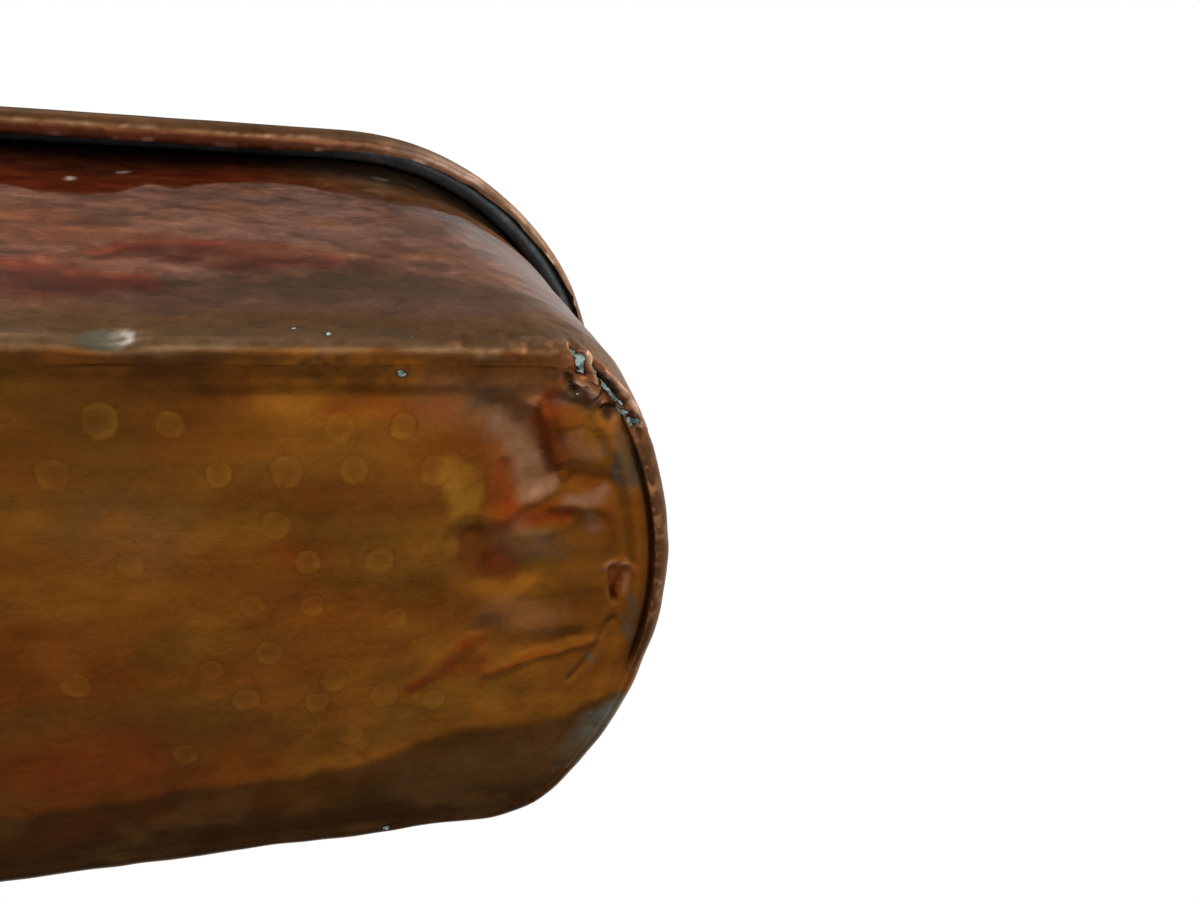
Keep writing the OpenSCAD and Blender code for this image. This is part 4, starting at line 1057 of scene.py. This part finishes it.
def makeWall(name, outline, isFront):
    count = len(outline["mouth"])
    middle = (outline["base"] + outline["mouth"]) / 2
    run = np.concatenate([[0], np.cumsum(np.linalg.norm(np.diff(middle, axis=0), axis=1))])
    x = outline["mouth"][:, 0] / mm
    sheet, seamZ, rollRows = body["wallSheet"], body["seamZ"], wall["rollRows"]
    wrap = np.interp(x, *wall["frontWrap" if isFront else "backWrap"])
    share = np.clip((wrap - wall["openWrap"]) / (wall["closedWrap"] - wall["openWrap"]), 0, 1)
    line = np.stack([run, run * 0], 1)
    ragged = 4 * softNoise(line, 9 * mm, 51) + 3 * softNoise(line, 3.4 * mm, 52)
    wrap = np.radians(wrap + ragged * (1.5 - share))
    faceZ = np.concatenate([np.arange(seamZ, wall["lowTop"], wall["lowStep"]),
                            np.arange(wall["lowTop"], rimZ - 0.4 * mm, wall["rowStep"])])
    innerZ = np.append(np.arange(rimZ - 3 * mm, seamZ + 2 * mm, -wall["innerStep"]), seamZ)
    turnShare = 1 - np.linspace(1, 0, rollRows) ** 1.5      # rows closer together near the free edge
    turn = math.pi - turnShare[None, :] * (math.pi + wrap[:, None])
    flare = (1 - share) * (1 + 0.5 * softNoise(line, 6 * mm, 53))
    flare = wall["flare"] * flare[:, None] * turnShare[None, :] ** 5
    inner, outer = wireOut + flare, wireOut + sheet + flare     # the roll's two faces, from the wire's middle
    ones = np.ones((count, 1))
    out = np.concatenate([0 * faceZ * ones, wireOut + inner * np.cos(turn),
                          (wireOut + outer * np.cos(turn))[:, ::-1], ones * (0 * innerZ - sheet)], 1)
    z = np.concatenate([faceZ * ones, rimZ + inner * np.sin(turn),
                        (rimZ + outer * np.sin(turn))[:, ::-1], innerZ * ones], 1)
    drawn = wallPlaces(outline, out - endLean(x)[:, None] * smooth(z / mm, *wall["leanHeights"]), z)
    shape = drawn.shape
    rows = shape[1]
    drawn = drawn.reshape(-1, 3)
    row = np.tile(np.arange(rows), count) - len(faceZ)      # 0 at the start of the roll
    runAll, outAll = np.repeat(run, rows), np.repeat(outline["normal"], rows, 0)
    face = row < 0
    roll = (row >= 0) & (row < 2 * rollRows)
    rollBack = roll & (row >= rollRows)
    inside = ~face & ~roll
    inward = np.concatenate([-outAll, np.zeros((len(drawn), 1))], 1)
    height = drawn[:, 2]
    seed = 160 if isFront else 260
    beaten = smooth(height, 6 * mm, 13 * mm) * smooth(height, rimZ - 3 * mm, rimZ - 14 * mm)
    blows = hammerMarks(runAll, height * wall["hammerLong"] / wall["hammerHigh"], wall["hammerLong"], seed)
    lay = np.stack([runAll, height * 1.8], 1)
    uneven = wall["hammerDepth"] * (0.5 - blows) + 0.3 * mm * softNoise(lay, 27 * mm, seed + 1)
    depth = np.where(roll, 0, knockDepth(drawn) + beaten * uneven) * smooth(height, rimZ, rimZ - 8 * mm)
    points = drawn + inward * depth[:, None]
    rollPlace = np.stack([runAll, (row + len(faceZ)) * 1.2 * mm], 1)
    dents = 0.35 * mm * softNoise(rollPlace, 14 * mm, seed + 2)
    points[rollBack, 2] += dents[rollBack] * 0.6
    tint, worn, green = paintWall(drawn, runAll, height, outAll, isFront, seed)
    lip = (1 - turnShare[::-1])[np.clip(row - rollRows, 0, rollRows - 1)]
    shoulder = np.repeat(1 - share, rows)
    rollTint = paintRoll(points, lay, line, x, shoulder, lip)
    # the roll's inner face, against the wire: black as painted shade, with bare copper near its free edge
    # where the roll opens
    rollShadeTint = over(coat("blackSootAndShade", len(points)), "fold", smooth(row / rollRows, 0.7, 0.95) * shoulder)
    rollWorn = np.clip(bell(lip, 0.05, 0.1) * (0.4 + 0.6 * shoulder) + 0.5 * shoulder, 0, 1)
    tint = np.where(rollBack[:, None], rollTint, np.where(roll[:, None], rollShadeTint, tint))
    marks = {
        "tint": tinInside(tint, inside, wornTin(lay, 24 * mm, 92)),
        "worn": np.where(rollBack, rollWorn, worn * face),
        "green": green * face,
        "calm": smooth(np.abs(outAll[:, 0]), 0.2, 0.6),     # where the hammer dashes fade
        "deep": face * smooth(height / mm - np.interp(drawn[:, 0] / mm, *wall["bandEdge"]), -1, 3),
    }
    mesh = sweepMesh(name, points.reshape(shape), False, True, marks)
    return finishMesh(mesh, 40, [list(range(rows)), list(range((count - 1) * rows, count * rows))])


# Lid: a hammered sheet, tinned below
lid = {
    "spacing": ([-400], [3.2], 3.2),
    # distance from the middle line and height, in mm
    "section": [(0, 160.5), (30, 160.5), (80.5, 151.5), (86.5, 145.5), (98.5, 145.5)],
    "crease": (30, 5, 0.36),    # round the flat middle: place, width and depth
    "sheet": 1.2 * mm, "rowStep": 2.2, "hammer": 11 * mm, "hammerDepth": 0.22 * mm,
    "palms": [(72, 0), (-72, 0), (60, 0), (-60, 0)], "palmReach": (20, 14),
}


def makeLid(outline):
    reach, height = (np.array(v, float) for v in zip(*lid["section"]))
    reach[0] = 0.001
    rows = []
    for a, b in zip(reach[:-1], reach[1:]):
        rows.append(np.linspace(a, b, max(2, int((b - a) / lid["rowStep"])), endpoint=False))
    across = np.append(np.concatenate(rows), reach[-1])
    creaseAt, creaseWide, creaseDeep = lid["crease"]
    level = np.interp(across, reach, height) - creaseDeep * bell(across, creaseAt, creaseWide)
    across, level = np.append(across, across[::-1]) * mm, np.append(level, level[::-1]) * mm
    top = np.arange(len(across)) < len(across) // 2
    inset = (body["halfWidth"] - across)[None, :, None]
    flat = outline["mouth"][:, None, :] - outline["normal"][:, None, :] * inset
    shape = flat.shape[:2]
    flat = flat.reshape(-1, 2)
    far, upper = np.tile(across, shape[0]) / mm, np.tile(top, shape[0])
    blows = hammerMarks(flat[:, 0], flat[:, 1], lid["hammer"], 301)
    free = 1 - np.clip(1.6 * spots(flat, [(*place, *lid["palmReach"], 1) for place in lid["palms"]]), 0, 1)
    sunk = lid["hammerDepth"] * (0.5 - blows) + 0.25 * mm * (1 + softNoise(flat, 60 * mm, 302))
    z = np.tile(level, shape[0]) - sunk * free * smooth(far, 86, 78) - np.where(upper, 0, lid["sheet"])
    tint = coat("tan", len(flat))
    tint = over(tint, "mauve", smooth(cloud(flat, 44 * mm, 303), -0.2, 0.5))
    tint = over(tint, "goldMid", 0.8 * smooth(cloud(flat, 52 * mm, 306), 0.0, 0.6))
    tint = over(tint, "wallRed", 0.8 * smooth(cloud(flat, 36 * mm, 309), 0.15, 0.6))
    tint = over(tint, "streak", 0.6 * smooth(cloud(flat, 12 * mm, 312), 0.1, 0.7))
    tint = over(tint, "wallOlive", 0.8 * bell(far, 83, 4) + 0.6 * (1 - free))
    # lighter brim and bend: rubbed copper, and painted highlights
    brim, bend = smooth(far, 95, 98), bell(far, 79, 2)
    tint = over(tint, "rubbedHighlight", 0.8 * brim + 0.5 * bend)
    tint = tinInside(tint, ~upper, wornTin(flat, 26 * mm, 315))
    worn = upper * (0.6 * brim + 0.3 * bend)
    points = np.concatenate([flat, z[:, None]], 1).reshape(*shape, 3)
    return finishMesh(sweepMesh("lidPanel", points, True, False, {"tint": tint, "worn": worn}))


# Collar below the lid, drawn in a little at the ends where the rim is knocked in
collar = {"rows": 7, "uneven": 0.25 * mm, "sheet": 1.2 * mm}


def makeCollar(outline):
    low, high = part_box("lid_collar")
    levels = np.linspace(low.z, high.z, collar["rows"])
    z = np.append(levels, levels[::-1])
    outer = np.arange(len(z)) < len(levels)
    reach = high.y - body["halfWidth"] - np.where(outer, 0, collar["sheet"])
    reach = reach[None, :] - endLean(outline["mouth"][:, 0] / mm)[:, None]
    flat = outline["mouth"][:, None, :] + outline["normal"][:, None, :] * reach[..., None]
    shape = flat.shape[:2]
    points = np.concatenate([flat, np.broadcast_to(z, shape)[..., None]], 2).reshape(-1, 3)
    drawnIn = collar["uneven"] * (0.5 + 0.5 * softNoise(points[:, :2], 24 * mm, 331))
    points[:, :2] -= np.repeat(outline["normal"], shape[1], 0) * drawnIn[:, None]
    tint = coat("tan", len(points))
    tint = over(tint, "goldMid", 0.8 * smooth(cloud(points, 30 * mm, 332), -0.1, 0.5))
    tint = over(tint, "streak", 0.7 * smooth(cloud(points, 9 * mm, 335), 0.0, 0.6))
    # lighter bottom edge: rubbed copper, and painted highlight
    brim = smooth(points[:, 2], low.z + 2 * mm, low.z)
    tint = over(tint, "rubbedHighlight", 0.8 * brim)
    tint = tinInside(tint, np.tile(~outer, shape[0]), smooth(cloud(points, 22 * mm, 338), 0.0, 0.6))
    marks = {"tint": tint, "worn": 0.6 * brim}
    return finishMesh(sweepMesh("lidCollar", points.reshape(*shape, 3), True, True, marks))


# Pieces grown by node trees: the wire along its path and the rivets on their seats
def newTree(name, inputs):
    tree = bpy.data.node_groups.new(name, "GeometryNodeTree")
    tree.interface.new_socket("Shape", in_out="INPUT", socket_type="NodeSocketGeometry")
    for label, kind, value in inputs:
        tree.interface.new_socket(label, in_out="INPUT", socket_type=kind).default_value = value
    tree.interface.new_socket("Grown", in_out="OUTPUT", socket_type="NodeSocketGeometry")
    return tree, tree.nodes.new("NodeGroupInput").outputs


def endTree(tree, shape, material):
    soft = addNode(tree, "GeometryNodeSetShadeSmooth", Geometry=shape)
    real = addNode(tree, "GeometryNodeRealizeInstances", Geometry=soft.outputs[0])
    coated = addNode(tree, "GeometryNodeSetMaterial", Geometry=real.outputs[0], Material=material)
    tree.links.new(coated.outputs[0], tree.nodes.new("NodeGroupOutput").inputs[0])
    return tree


def namedValue(tree, name, kind="FLOAT"):
    node = addNode(tree, "GeometryNodeInputNamedAttribute", {"data_type": kind}, Name=name)
    return node.outputs["Attribute"]


def wireTree(material):
    whole, real = "NodeSocketInt", "NodeSocketFloat"
    tree, given = newTree("wireAlongPath", [("Radius", real, 0.004), ("Stations", whole, 400),
                                            ("Wander", real, 0.0), ("Sides", whole, 16)])
    path = addNode(tree, "GeometryNodeMeshToCurve", Mesh=given["Shape"])
    even = addNode(tree, "GeometryNodeResampleCurve", Curve=path.outputs[0], Count=given["Stations"])
    place = tree.nodes.new("GeometryNodeInputPosition").outputs[0]
    sway = addNode(tree, "ShaderNodeTexNoise", Vector=place, Scale=30.0, Detail=1.0).outputs["Color"]
    sway = vectorOf(tree, "SUBTRACT", sway, n1=(0.5, 0.5, 0.5))
    sway = vectorOf(tree, "SCALE", sway, Scale=given["Wander"])
    bent = addNode(tree, "GeometryNodeSetPosition", Geometry=even.outputs[0], Offset=sway)
    ring = addNode(tree, "GeometryNodeCurvePrimitiveCircle", Resolution=given["Sides"],
                   Radius=given["Radius"])
    swept = addNode(tree, "GeometryNodeCurveToMesh", Curve=bent.outputs[0], n1=ring.outputs[0])
    return endTree(tree, swept.outputs[0], material)


def rivetTree(material):
    # the drawn outlines, kinds 2 and 3, are turned into solids and set on the seats of kinds 0 and 1
    tree, given = newTree("rivetsOnSeats", [("Sides", "NodeSocketInt", 18)])
    joined = tree.nodes.new("GeometryNodeJoinGeometry")
    ring = addNode(tree, "GeometryNodeCurvePrimitiveCircle", Resolution=given["Sides"], Radius=1.0)
    turned = addNode(tree, "FunctionNodeAlignRotationToVector", {"axis": "Z"},
                     Vector=namedValue(tree, "way", "FLOAT_VECTOR")).outputs[0]

    def only(kind):
        same = addNode(tree, "FunctionNodeCompare", {"operation": "EQUAL", "data_type": "FLOAT"},
                       n0=namedValue(tree, "kind"), n1=kind, Epsilon=0.1)
        return addNode(tree, "GeometryNodeSeparateGeometry", Geometry=given["Shape"],
                       Selection=same.outputs[0]).outputs[0]

    for kind in (0.0, 1.0):
        outline = addNode(tree, "GeometryNodeMeshToCurve", Mesh=only(kind + 2))
        solid = addNode(tree, "GeometryNodeCurveToMesh", Curve=outline.outputs[0], n1=ring.outputs[0],
                        Scale=namedValue(tree, "reach"))
        solid.inputs["Fill Caps"].default_value = True
        seated = addNode(tree, "GeometryNodeInstanceOnPoints", Points=only(kind), Instance=solid.outputs[0],
                         Rotation=turned)
        tree.links.new(seated.outputs[0], joined.inputs[0])
    return endTree(tree, joined.outputs[0], material)


def grow(name, tree, mesh, **given):
    holder = bpy.data.objects.new(name, mesh)
    scene.collection.objects.link(holder)
    step = holder.modifiers.new(name, "NODES")
    step.node_group = tree
    for item in tree.interface.items_tree:
        if item.in_out == "INPUT" and item.name in given:
            step[item.identifier] = given[item.name]
    bpy.context.view_layer.update()
    grown = bpy.data.meshes.new_from_object(holder.evaluated_get(bpy.context.evaluated_depsgraph_get()))
    holder.modifiers.remove(step)
    bpy.data.objects.remove(holder)
    grown.name = name
    return finishMesh(grown)


rimWire = {"stations": 520, "sides": 18, "wander": 0.5 * mm}
rivets = {
    "plateRadius": 118.02, "plateMiddle": 162.08, "plateSheet": 2.5,
    "seatZ": 92.0, "apart": (-39, -12, 12, 39),
    "wallGrip": (2.14, 1.72, 1.72, 2.14),       # plate's inner face to the inner heads, in mm
    "palmX": 72.0, "palmTop": 163.5, "palmUnder": 159.3, "gap": 0.15,
    # outlines of the two heads, the first with its shank: height and radius, in mm
    "dome": [(-5.2, 0.1), (-5.19, 2.3), (-0.01, 2.3), (0, 3.7), (0.15, 4.0), (0.5, 3.95), (1.0, 3.55),
             (1.5, 2.85), (1.9, 2.0), (2.12, 1.1), (2.2, 0.1)],
    "head": [(-1.2, 0.1), (-1.19, 3.6), (-1.0, 3.95), (-0.2, 4.0), (0, 3.8), (0.01, 0.1)],
}


def wirePath(outline):
    out = wireOut - endLean(outline["mouth"][:, 0] / mm)
    flat = outline["mouth"] + outline["normal"] * out[:, None]
    count = len(flat)
    mesh = bpy.data.meshes.new("wirePath")
    mesh.from_pydata([(x, y, rimZ) for x, y in flat], [(i, (i + 1) % count) for i in range(count)], [])
    return mesh


def rivetSeats(seats):
    # seats: place, outward way and kind, then the two outlines to be turned
    places, ways, kinds, reaches, edges = [], [], [], [], []
    for place, way, kind in seats:
        places.append(place)
        ways.append(way)
        kinds.append(kind)
        reaches.append(0.0)
    for kind, key in ((2, "dome"), (3, "head")):
        for i, (up, reach) in enumerate(rivets[key]):
            if i:
                edges.append((len(places) - 1, len(places)))
            places.append((0, 0, up * mm))
            ways.append((0, 0, 1))
            kinds.append(kind)
            reaches.append(reach * mm)
    mesh = bpy.data.meshes.new("rivetSeats")
    mesh.from_pydata(places, edges, [])
    for key, values in (("kind", kinds), ("reach", reaches), ("way", ways)):
        kind, field = ("FLOAT_VECTOR", "vector") if key == "way" else ("FLOAT", "value")
        layer = mesh.attributes.new(key, kind, "POINT")
        layer.data.foreach_set(field, np.asarray(values, np.float32).ravel())
    return mesh


def plateSeats(side):
    seats = []
    radius, gap = rivets["plateRadius"], rivets["gap"]
    for y, grip in zip(rivets["apart"], rivets["wallGrip"]):
        away = math.asin(y / radius)
        way = (side * math.cos(away), math.sin(away), 0)
        for kind, far in ((0, radius + rivets["plateSheet"] + gap), (1, radius - grip - gap)):
            x = side * (rivets["plateMiddle"] + far * math.cos(away))
            place = (x * mm, far * math.sin(away) * mm, rivets["seatZ"] * mm)
            seats.append((place, way, kind))
    return seats


def palmSeats():
    levels = (rivets["palmTop"] + rivets["gap"], rivets["palmUnder"] - rivets["gap"])
    places = itertools.product((-rivets["palmX"], rivets["palmX"]), enumerate(levels))
    return [((x * mm, 0, z * mm), (0, 0, 1), kind) for x, (kind, z) in places]


# Copper: the painted heat colours, highlights and shade, broken up by fine mottling, brush lines and
# verdigris
copper = {
    "metal": 0.94, "bump": (0.35, 0.6 * mm),
    # tint of what it reflects at a slant, and that in the dark band
    "glance": (0.94, 0.82, 0.73), "glanceDeep": (0.82, 0.52, 0.38),
    "plain": [(0.3, linear(84, 54, 32)), (0.5, linear(112, 76, 48)), (0.72, linear(132, 86, 52))],
    "markRing": linear(62, 30, 8), "markInside": linear(176, 120, 40), "pitted": linear(24, 22, 19),
    "crust": [(0.34, linear(54, 64, 58)), (0.48, linear(106, 130, 126)), (0.62, linear(178, 198, 194))],
}


def addFacets(tree, place, size, tone, height):
    # hammer facets, each lighter or darker as painted light, and dashes of painted shade and highlight
    # between them
    laid = addNode(tree, "ShaderNodeMapping", Vector=place, Scale=[1 / v for v in size]).outputs[0]
    swayed = addNode(tree, "ShaderNodeTexNoise", Vector=laid, Scale=1.1, Detail=2.0).outputs["Color"]
    swayed = vectorOf(tree, "ADD", laid, n1=vectorOf(tree, "SCALE", swayed, Scale=0.9))
    blow = addNode(tree, "ShaderNodeTexVoronoi", {"feature": "SMOOTH_F1"}, Vector=swayed, Scale=1.0,
                   Smoothness=0.12)
    single = addNode(tree, "ShaderNodeSeparateColor", n0=blow.outputs["Color"]).outputs[0]
    tone = shaded(tree, tone, single, [(0.1, 0.86), (0.5, 1.0), (0.9, 1.1)])
    lightAndShadeDash = noiseOf(tree, swayed, 1.5, 3, 0.5, 0.4)
    beaten = mathOf(tree, "SUBTRACT", 1.0, mathOf(tree, "MULTIPLY", attributeOf(tree, "calm"), 0.65))
    tone = shaded(tree, tone, lightAndShadeDash, [(0.32, 0.72), (0.43, 1.0), (0.58, 1.0), (0.68, 1.32)], beaten)
    return tone, weighed(tree, (height, 1.0), (blow.outputs["Distance"], 1.6))


def addRounds(tree, place, middle, tone):
    # round hammer marks: a broken dark ring, mottled and lighter inside
    frayed = mathOf(tree, "MULTIPLY", mathOf(tree, "SUBTRACT", middle, 0.5), 0.25)
    disc = mathOf(tree, "MULTIPLY", mathOf(tree, "ADD", attributeOf(tree, "disc"), frayed), 0.5)
    ring = rampOf(tree, disc, [(0.38, 0.0), (0.48, 0.24), (0.52, 0.08), (0.58, 0.0)])
    inside = rampOf(tree, disc, [(0.47, 0.0), (0.58, 0.24), (0.85, 0.1)])
    ringGaps = rampOf(tree, noiseOf(tree, place, 60, 2), [(0.42, 0.05), (0.62, 1.0)])
    mottle = rampOf(tree, noiseOf(tree, place, 150, 3), [(0.36, 0.25), (0.6, 1.0)])
    tone = mixOf(tree, mathOf(tree, "MULTIPLY", ring, ringGaps), tone, copper["markRing"])
    return mixOf(tree, mathOf(tree, "MULTIPLY", inside, mottle), tone, copper["markInside"])


def makeCopper(name, painted, facets=None):
    material, tree, shader = newMaterial(name, {})
    place = objectPlace(tree)
    middle = noiseOf(tree, place, 78, 5, 0.6, 0.6)
    grain = noiseOf(tree, place, 460, 4, 0.65)
    brush = noiseOf(tree, objectPlace(tree, (0.14, 1, 1)), 300, 4, 0.6, 0.3)
    if painted:
        tone = attributeOf(tree, "tint", "Color")
    else:
        tone = rampOf(tree, noiseOf(tree, place, 22, 5, 0.6, 0.7), copper["plain"])
    tone = shaded(tree, tone, middle, [(0.26, 0.86), (0.5, 1.0), (0.74, 1.13)])
    tone = shaded(tree, tone, brush, [(0.3, 0.94), (0.7, 1.05)])
    tone = shaded(tree, tone, grain, [(0.30, 0.86), (0.5, 1.0), (0.76, 1.08)])
    rough = rampOf(tree, middle, [(0.25, 0.33), (0.75, 0.45)])
    metal = copper["metal"]
    height = weighed(tree, (grain, 0.35), (brush, 0.3), (middle, 0.6))
    if facets:
        tone, height = addFacets(tree, place, facets, tone, height)
    if painted:
        tone = addRounds(tree, place, middle, tone)
        broken = mathOf(tree, "MULTIPLY", mathOf(tree, "SUBTRACT", grain, 0.5), 0.7)
        green = mathOf(tree, "ADD", attributeOf(tree, "green"), broken)
        crust = rampOf(tree, green, [(0.45, 0.0), (0.62, 1.0)])
        tone = mixOf(tree, rampOf(tree, green, [(0.2, 0.0), (0.4, 0.6)]), tone, copper["pitted"])
        tone = mixOf(tree, crust, tone, rampOf(tree, grain, copper["crust"]))
        rubbed = mathOf(tree, "MULTIPLY", attributeOf(tree, "worn"), 0.75)
        rough = mixOf(tree, rubbed, rough, (0.2, 0.2, 0.2))
        rough = mixOf(tree, crust, rough, (0.8, 0.8, 0.8))
        metal = mathOf(tree, "SUBTRACT", metal, mathOf(tree, "MULTIPLY", crust, 0.8))
    glance = mixOf(tree, attributeOf(tree, "deep"), copper["glance"], copper["glanceDeep"])
    tree.links.new(glance, shader.inputs["Specular Tint"])
    setFinish(tree, shader, tone, metal, rough, height, copper["bump"])
    return material


# Iron: black scale with a soft grey sheen and a little rust
iron = {"metal": 0.55, "bump": (0.45, 0.8 * mm), "rust": (0.075, 0.034, 0.018)}


def makeIron(name, dark, mid, light, rough):
    material, tree, shader = newMaterial(name, {})
    place = objectPlace(tree)
    scale = noiseOf(tree, place, 160, 5, 0.62, 0.3)
    patch = noiseOf(tree, place, 38, 4, 0.6, 0.5)
    grain = noiseOf(tree, place, 900, 3, 0.6)
    tone = rampOf(tree, scale, [(0.3, dark), (0.62, mid), (0.85, light)])
    tone = mixOf(tree, rampOf(tree, patch, [(0.58, 0.0), (0.76, 0.55)]), tone, iron["rust"])
    gloss = rampOf(tree, scale, [(0.3, rough + 0.2), (0.8, rough)])
    height = weighed(tree, (scale, 1.0), (grain, 0.25))
    setFinish(tree, shader, tone, iron["metal"], gloss, height, iron["bump"])
    return material


# Tin: wiped on by hand, grey with cloudy wear down to the copper
tin = {"metal": 0.9, "bump": (0.3, 0.6 * mm), "dull": (0.34, 0.325, 0.295), "clean": (0.56, 0.54, 0.495),
       "bare": (0.24, 0.13, 0.08)}


def makeTin(name):
    material, tree, shader = newMaterial(name, {})
    place = objectPlace(tree)
    cloudy = noiseOf(tree, place, 30, 5, 0.6, 0.8)
    wipe = noiseOf(tree, objectPlace(tree, (0.3, 1, 1)), 150, 4, 0.6)
    grain = noiseOf(tree, place, 700, 3, 0.6)
    tone = rampOf(tree, wipe, [(0.3, tin["dull"]), (0.7, tin["clean"])])
    tone = mixOf(tree, rampOf(tree, cloudy, [(0.57, 0.0), (0.75, 0.6)]), tone, tin["bare"])
    rough = rampOf(tree, cloudy, [(0.3, 0.33), (0.75, 0.52)])
    height = weighed(tree, (wipe, 1.0), (grain, 0.3))
    setFinish(tree, shader, tone, tin["metal"], rough, height, tin["bump"])
    return material


paintedCopper = makeCopper("paintedCopper", True)
agedCopper = makeCopper("agedCopper", False)
wallCopper = makeCopper("wallCopper", True, (0.0105, 0.0105, 0.0072))
lidCopper = makeCopper("lidCopper", True, (0.011, 0.011, 0.011))
blackIron = makeIron("blackIron", (0.020, 0.021, 0.022), (0.062, 0.064, 0.064), (0.12, 0.118, 0.114), 0.4)
wireIron = makeIron("wireIron", (0.03, 0.034, 0.036), (0.075, 0.084, 0.088), (0.17, 0.175, 0.172), 0.24)
wipedTin = makeTin("wipedTin")
print("finishes made")

# Pieces in worn metal, each in place of its CAD node
addPiece("basePan", makeBasePan(), "kettle", "aged_copper", paintedCopper, "base_plate")
print("base beaten")
front, back = frontOutline(wall["spacing"]), backOutline(frontOutline(wall["backSpacing"]))
for pieceName, outline, label in (
    ("frontWall", front, "front_wall_sheet"),
    ("backWall", back, "back_wall_sheet"),
):
    wallMesh = makeWall(pieceName, outline, outline is front)
    addPiece(pieceName, wallMesh, "kettle", "aged_copper", wallCopper, label)
print("walls rolled")

wireMesh = grow("rimWire", wireTree(wireIron), wirePath(wholeOutline(front)), Radius=wireRadius,
                Stations=rimWire["stations"], Wander=rimWire["wander"], Sides=rimWire["sides"])
addPiece("rimWire", wireMesh, "kettle", "black_iron", wireIron, "rim_wire")
riveting = rivetTree(agedCopper)
for pieceName, bodyName, label, seats in (
    ("rightHandleRivets", "kettle", "right_handle_rivets", plateSeats(1)),
    ("leftHandleRivets", "kettle", "left_handle_rivets", plateSeats(-1)),
    ("lidHandleRivets", "lid", "lid_handle_rivets", palmSeats()),
):
    rivetMesh = grow(pieceName, riveting, rivetSeats(seats))
    addPiece(pieceName, rivetMesh, bodyName, "aged_copper", agedCopper, label)
lidOutline = wholeOutline(frontOutline(lid["spacing"]))
addPiece("lidPanel", makeLid(lidOutline), "lid", "aged_copper", lidCopper, "lid_panel")
addPiece("lidCollar", makeCollar(lidOutline), "lid", "aged_copper", lidCopper, "lid_collar")
print("wire, rivets and lid made")

# The other CAD nodes keep their shapes and get a finish: tin for the drainer, iron for the handles
for nodeName, node in nodes.items():
    finish = wipedTin if nodeName.startswith("drainer") or "lifting" in nodeName else blackIron
    for spot in node.material_slots:
        spot.material = finish
print("fittings finished")
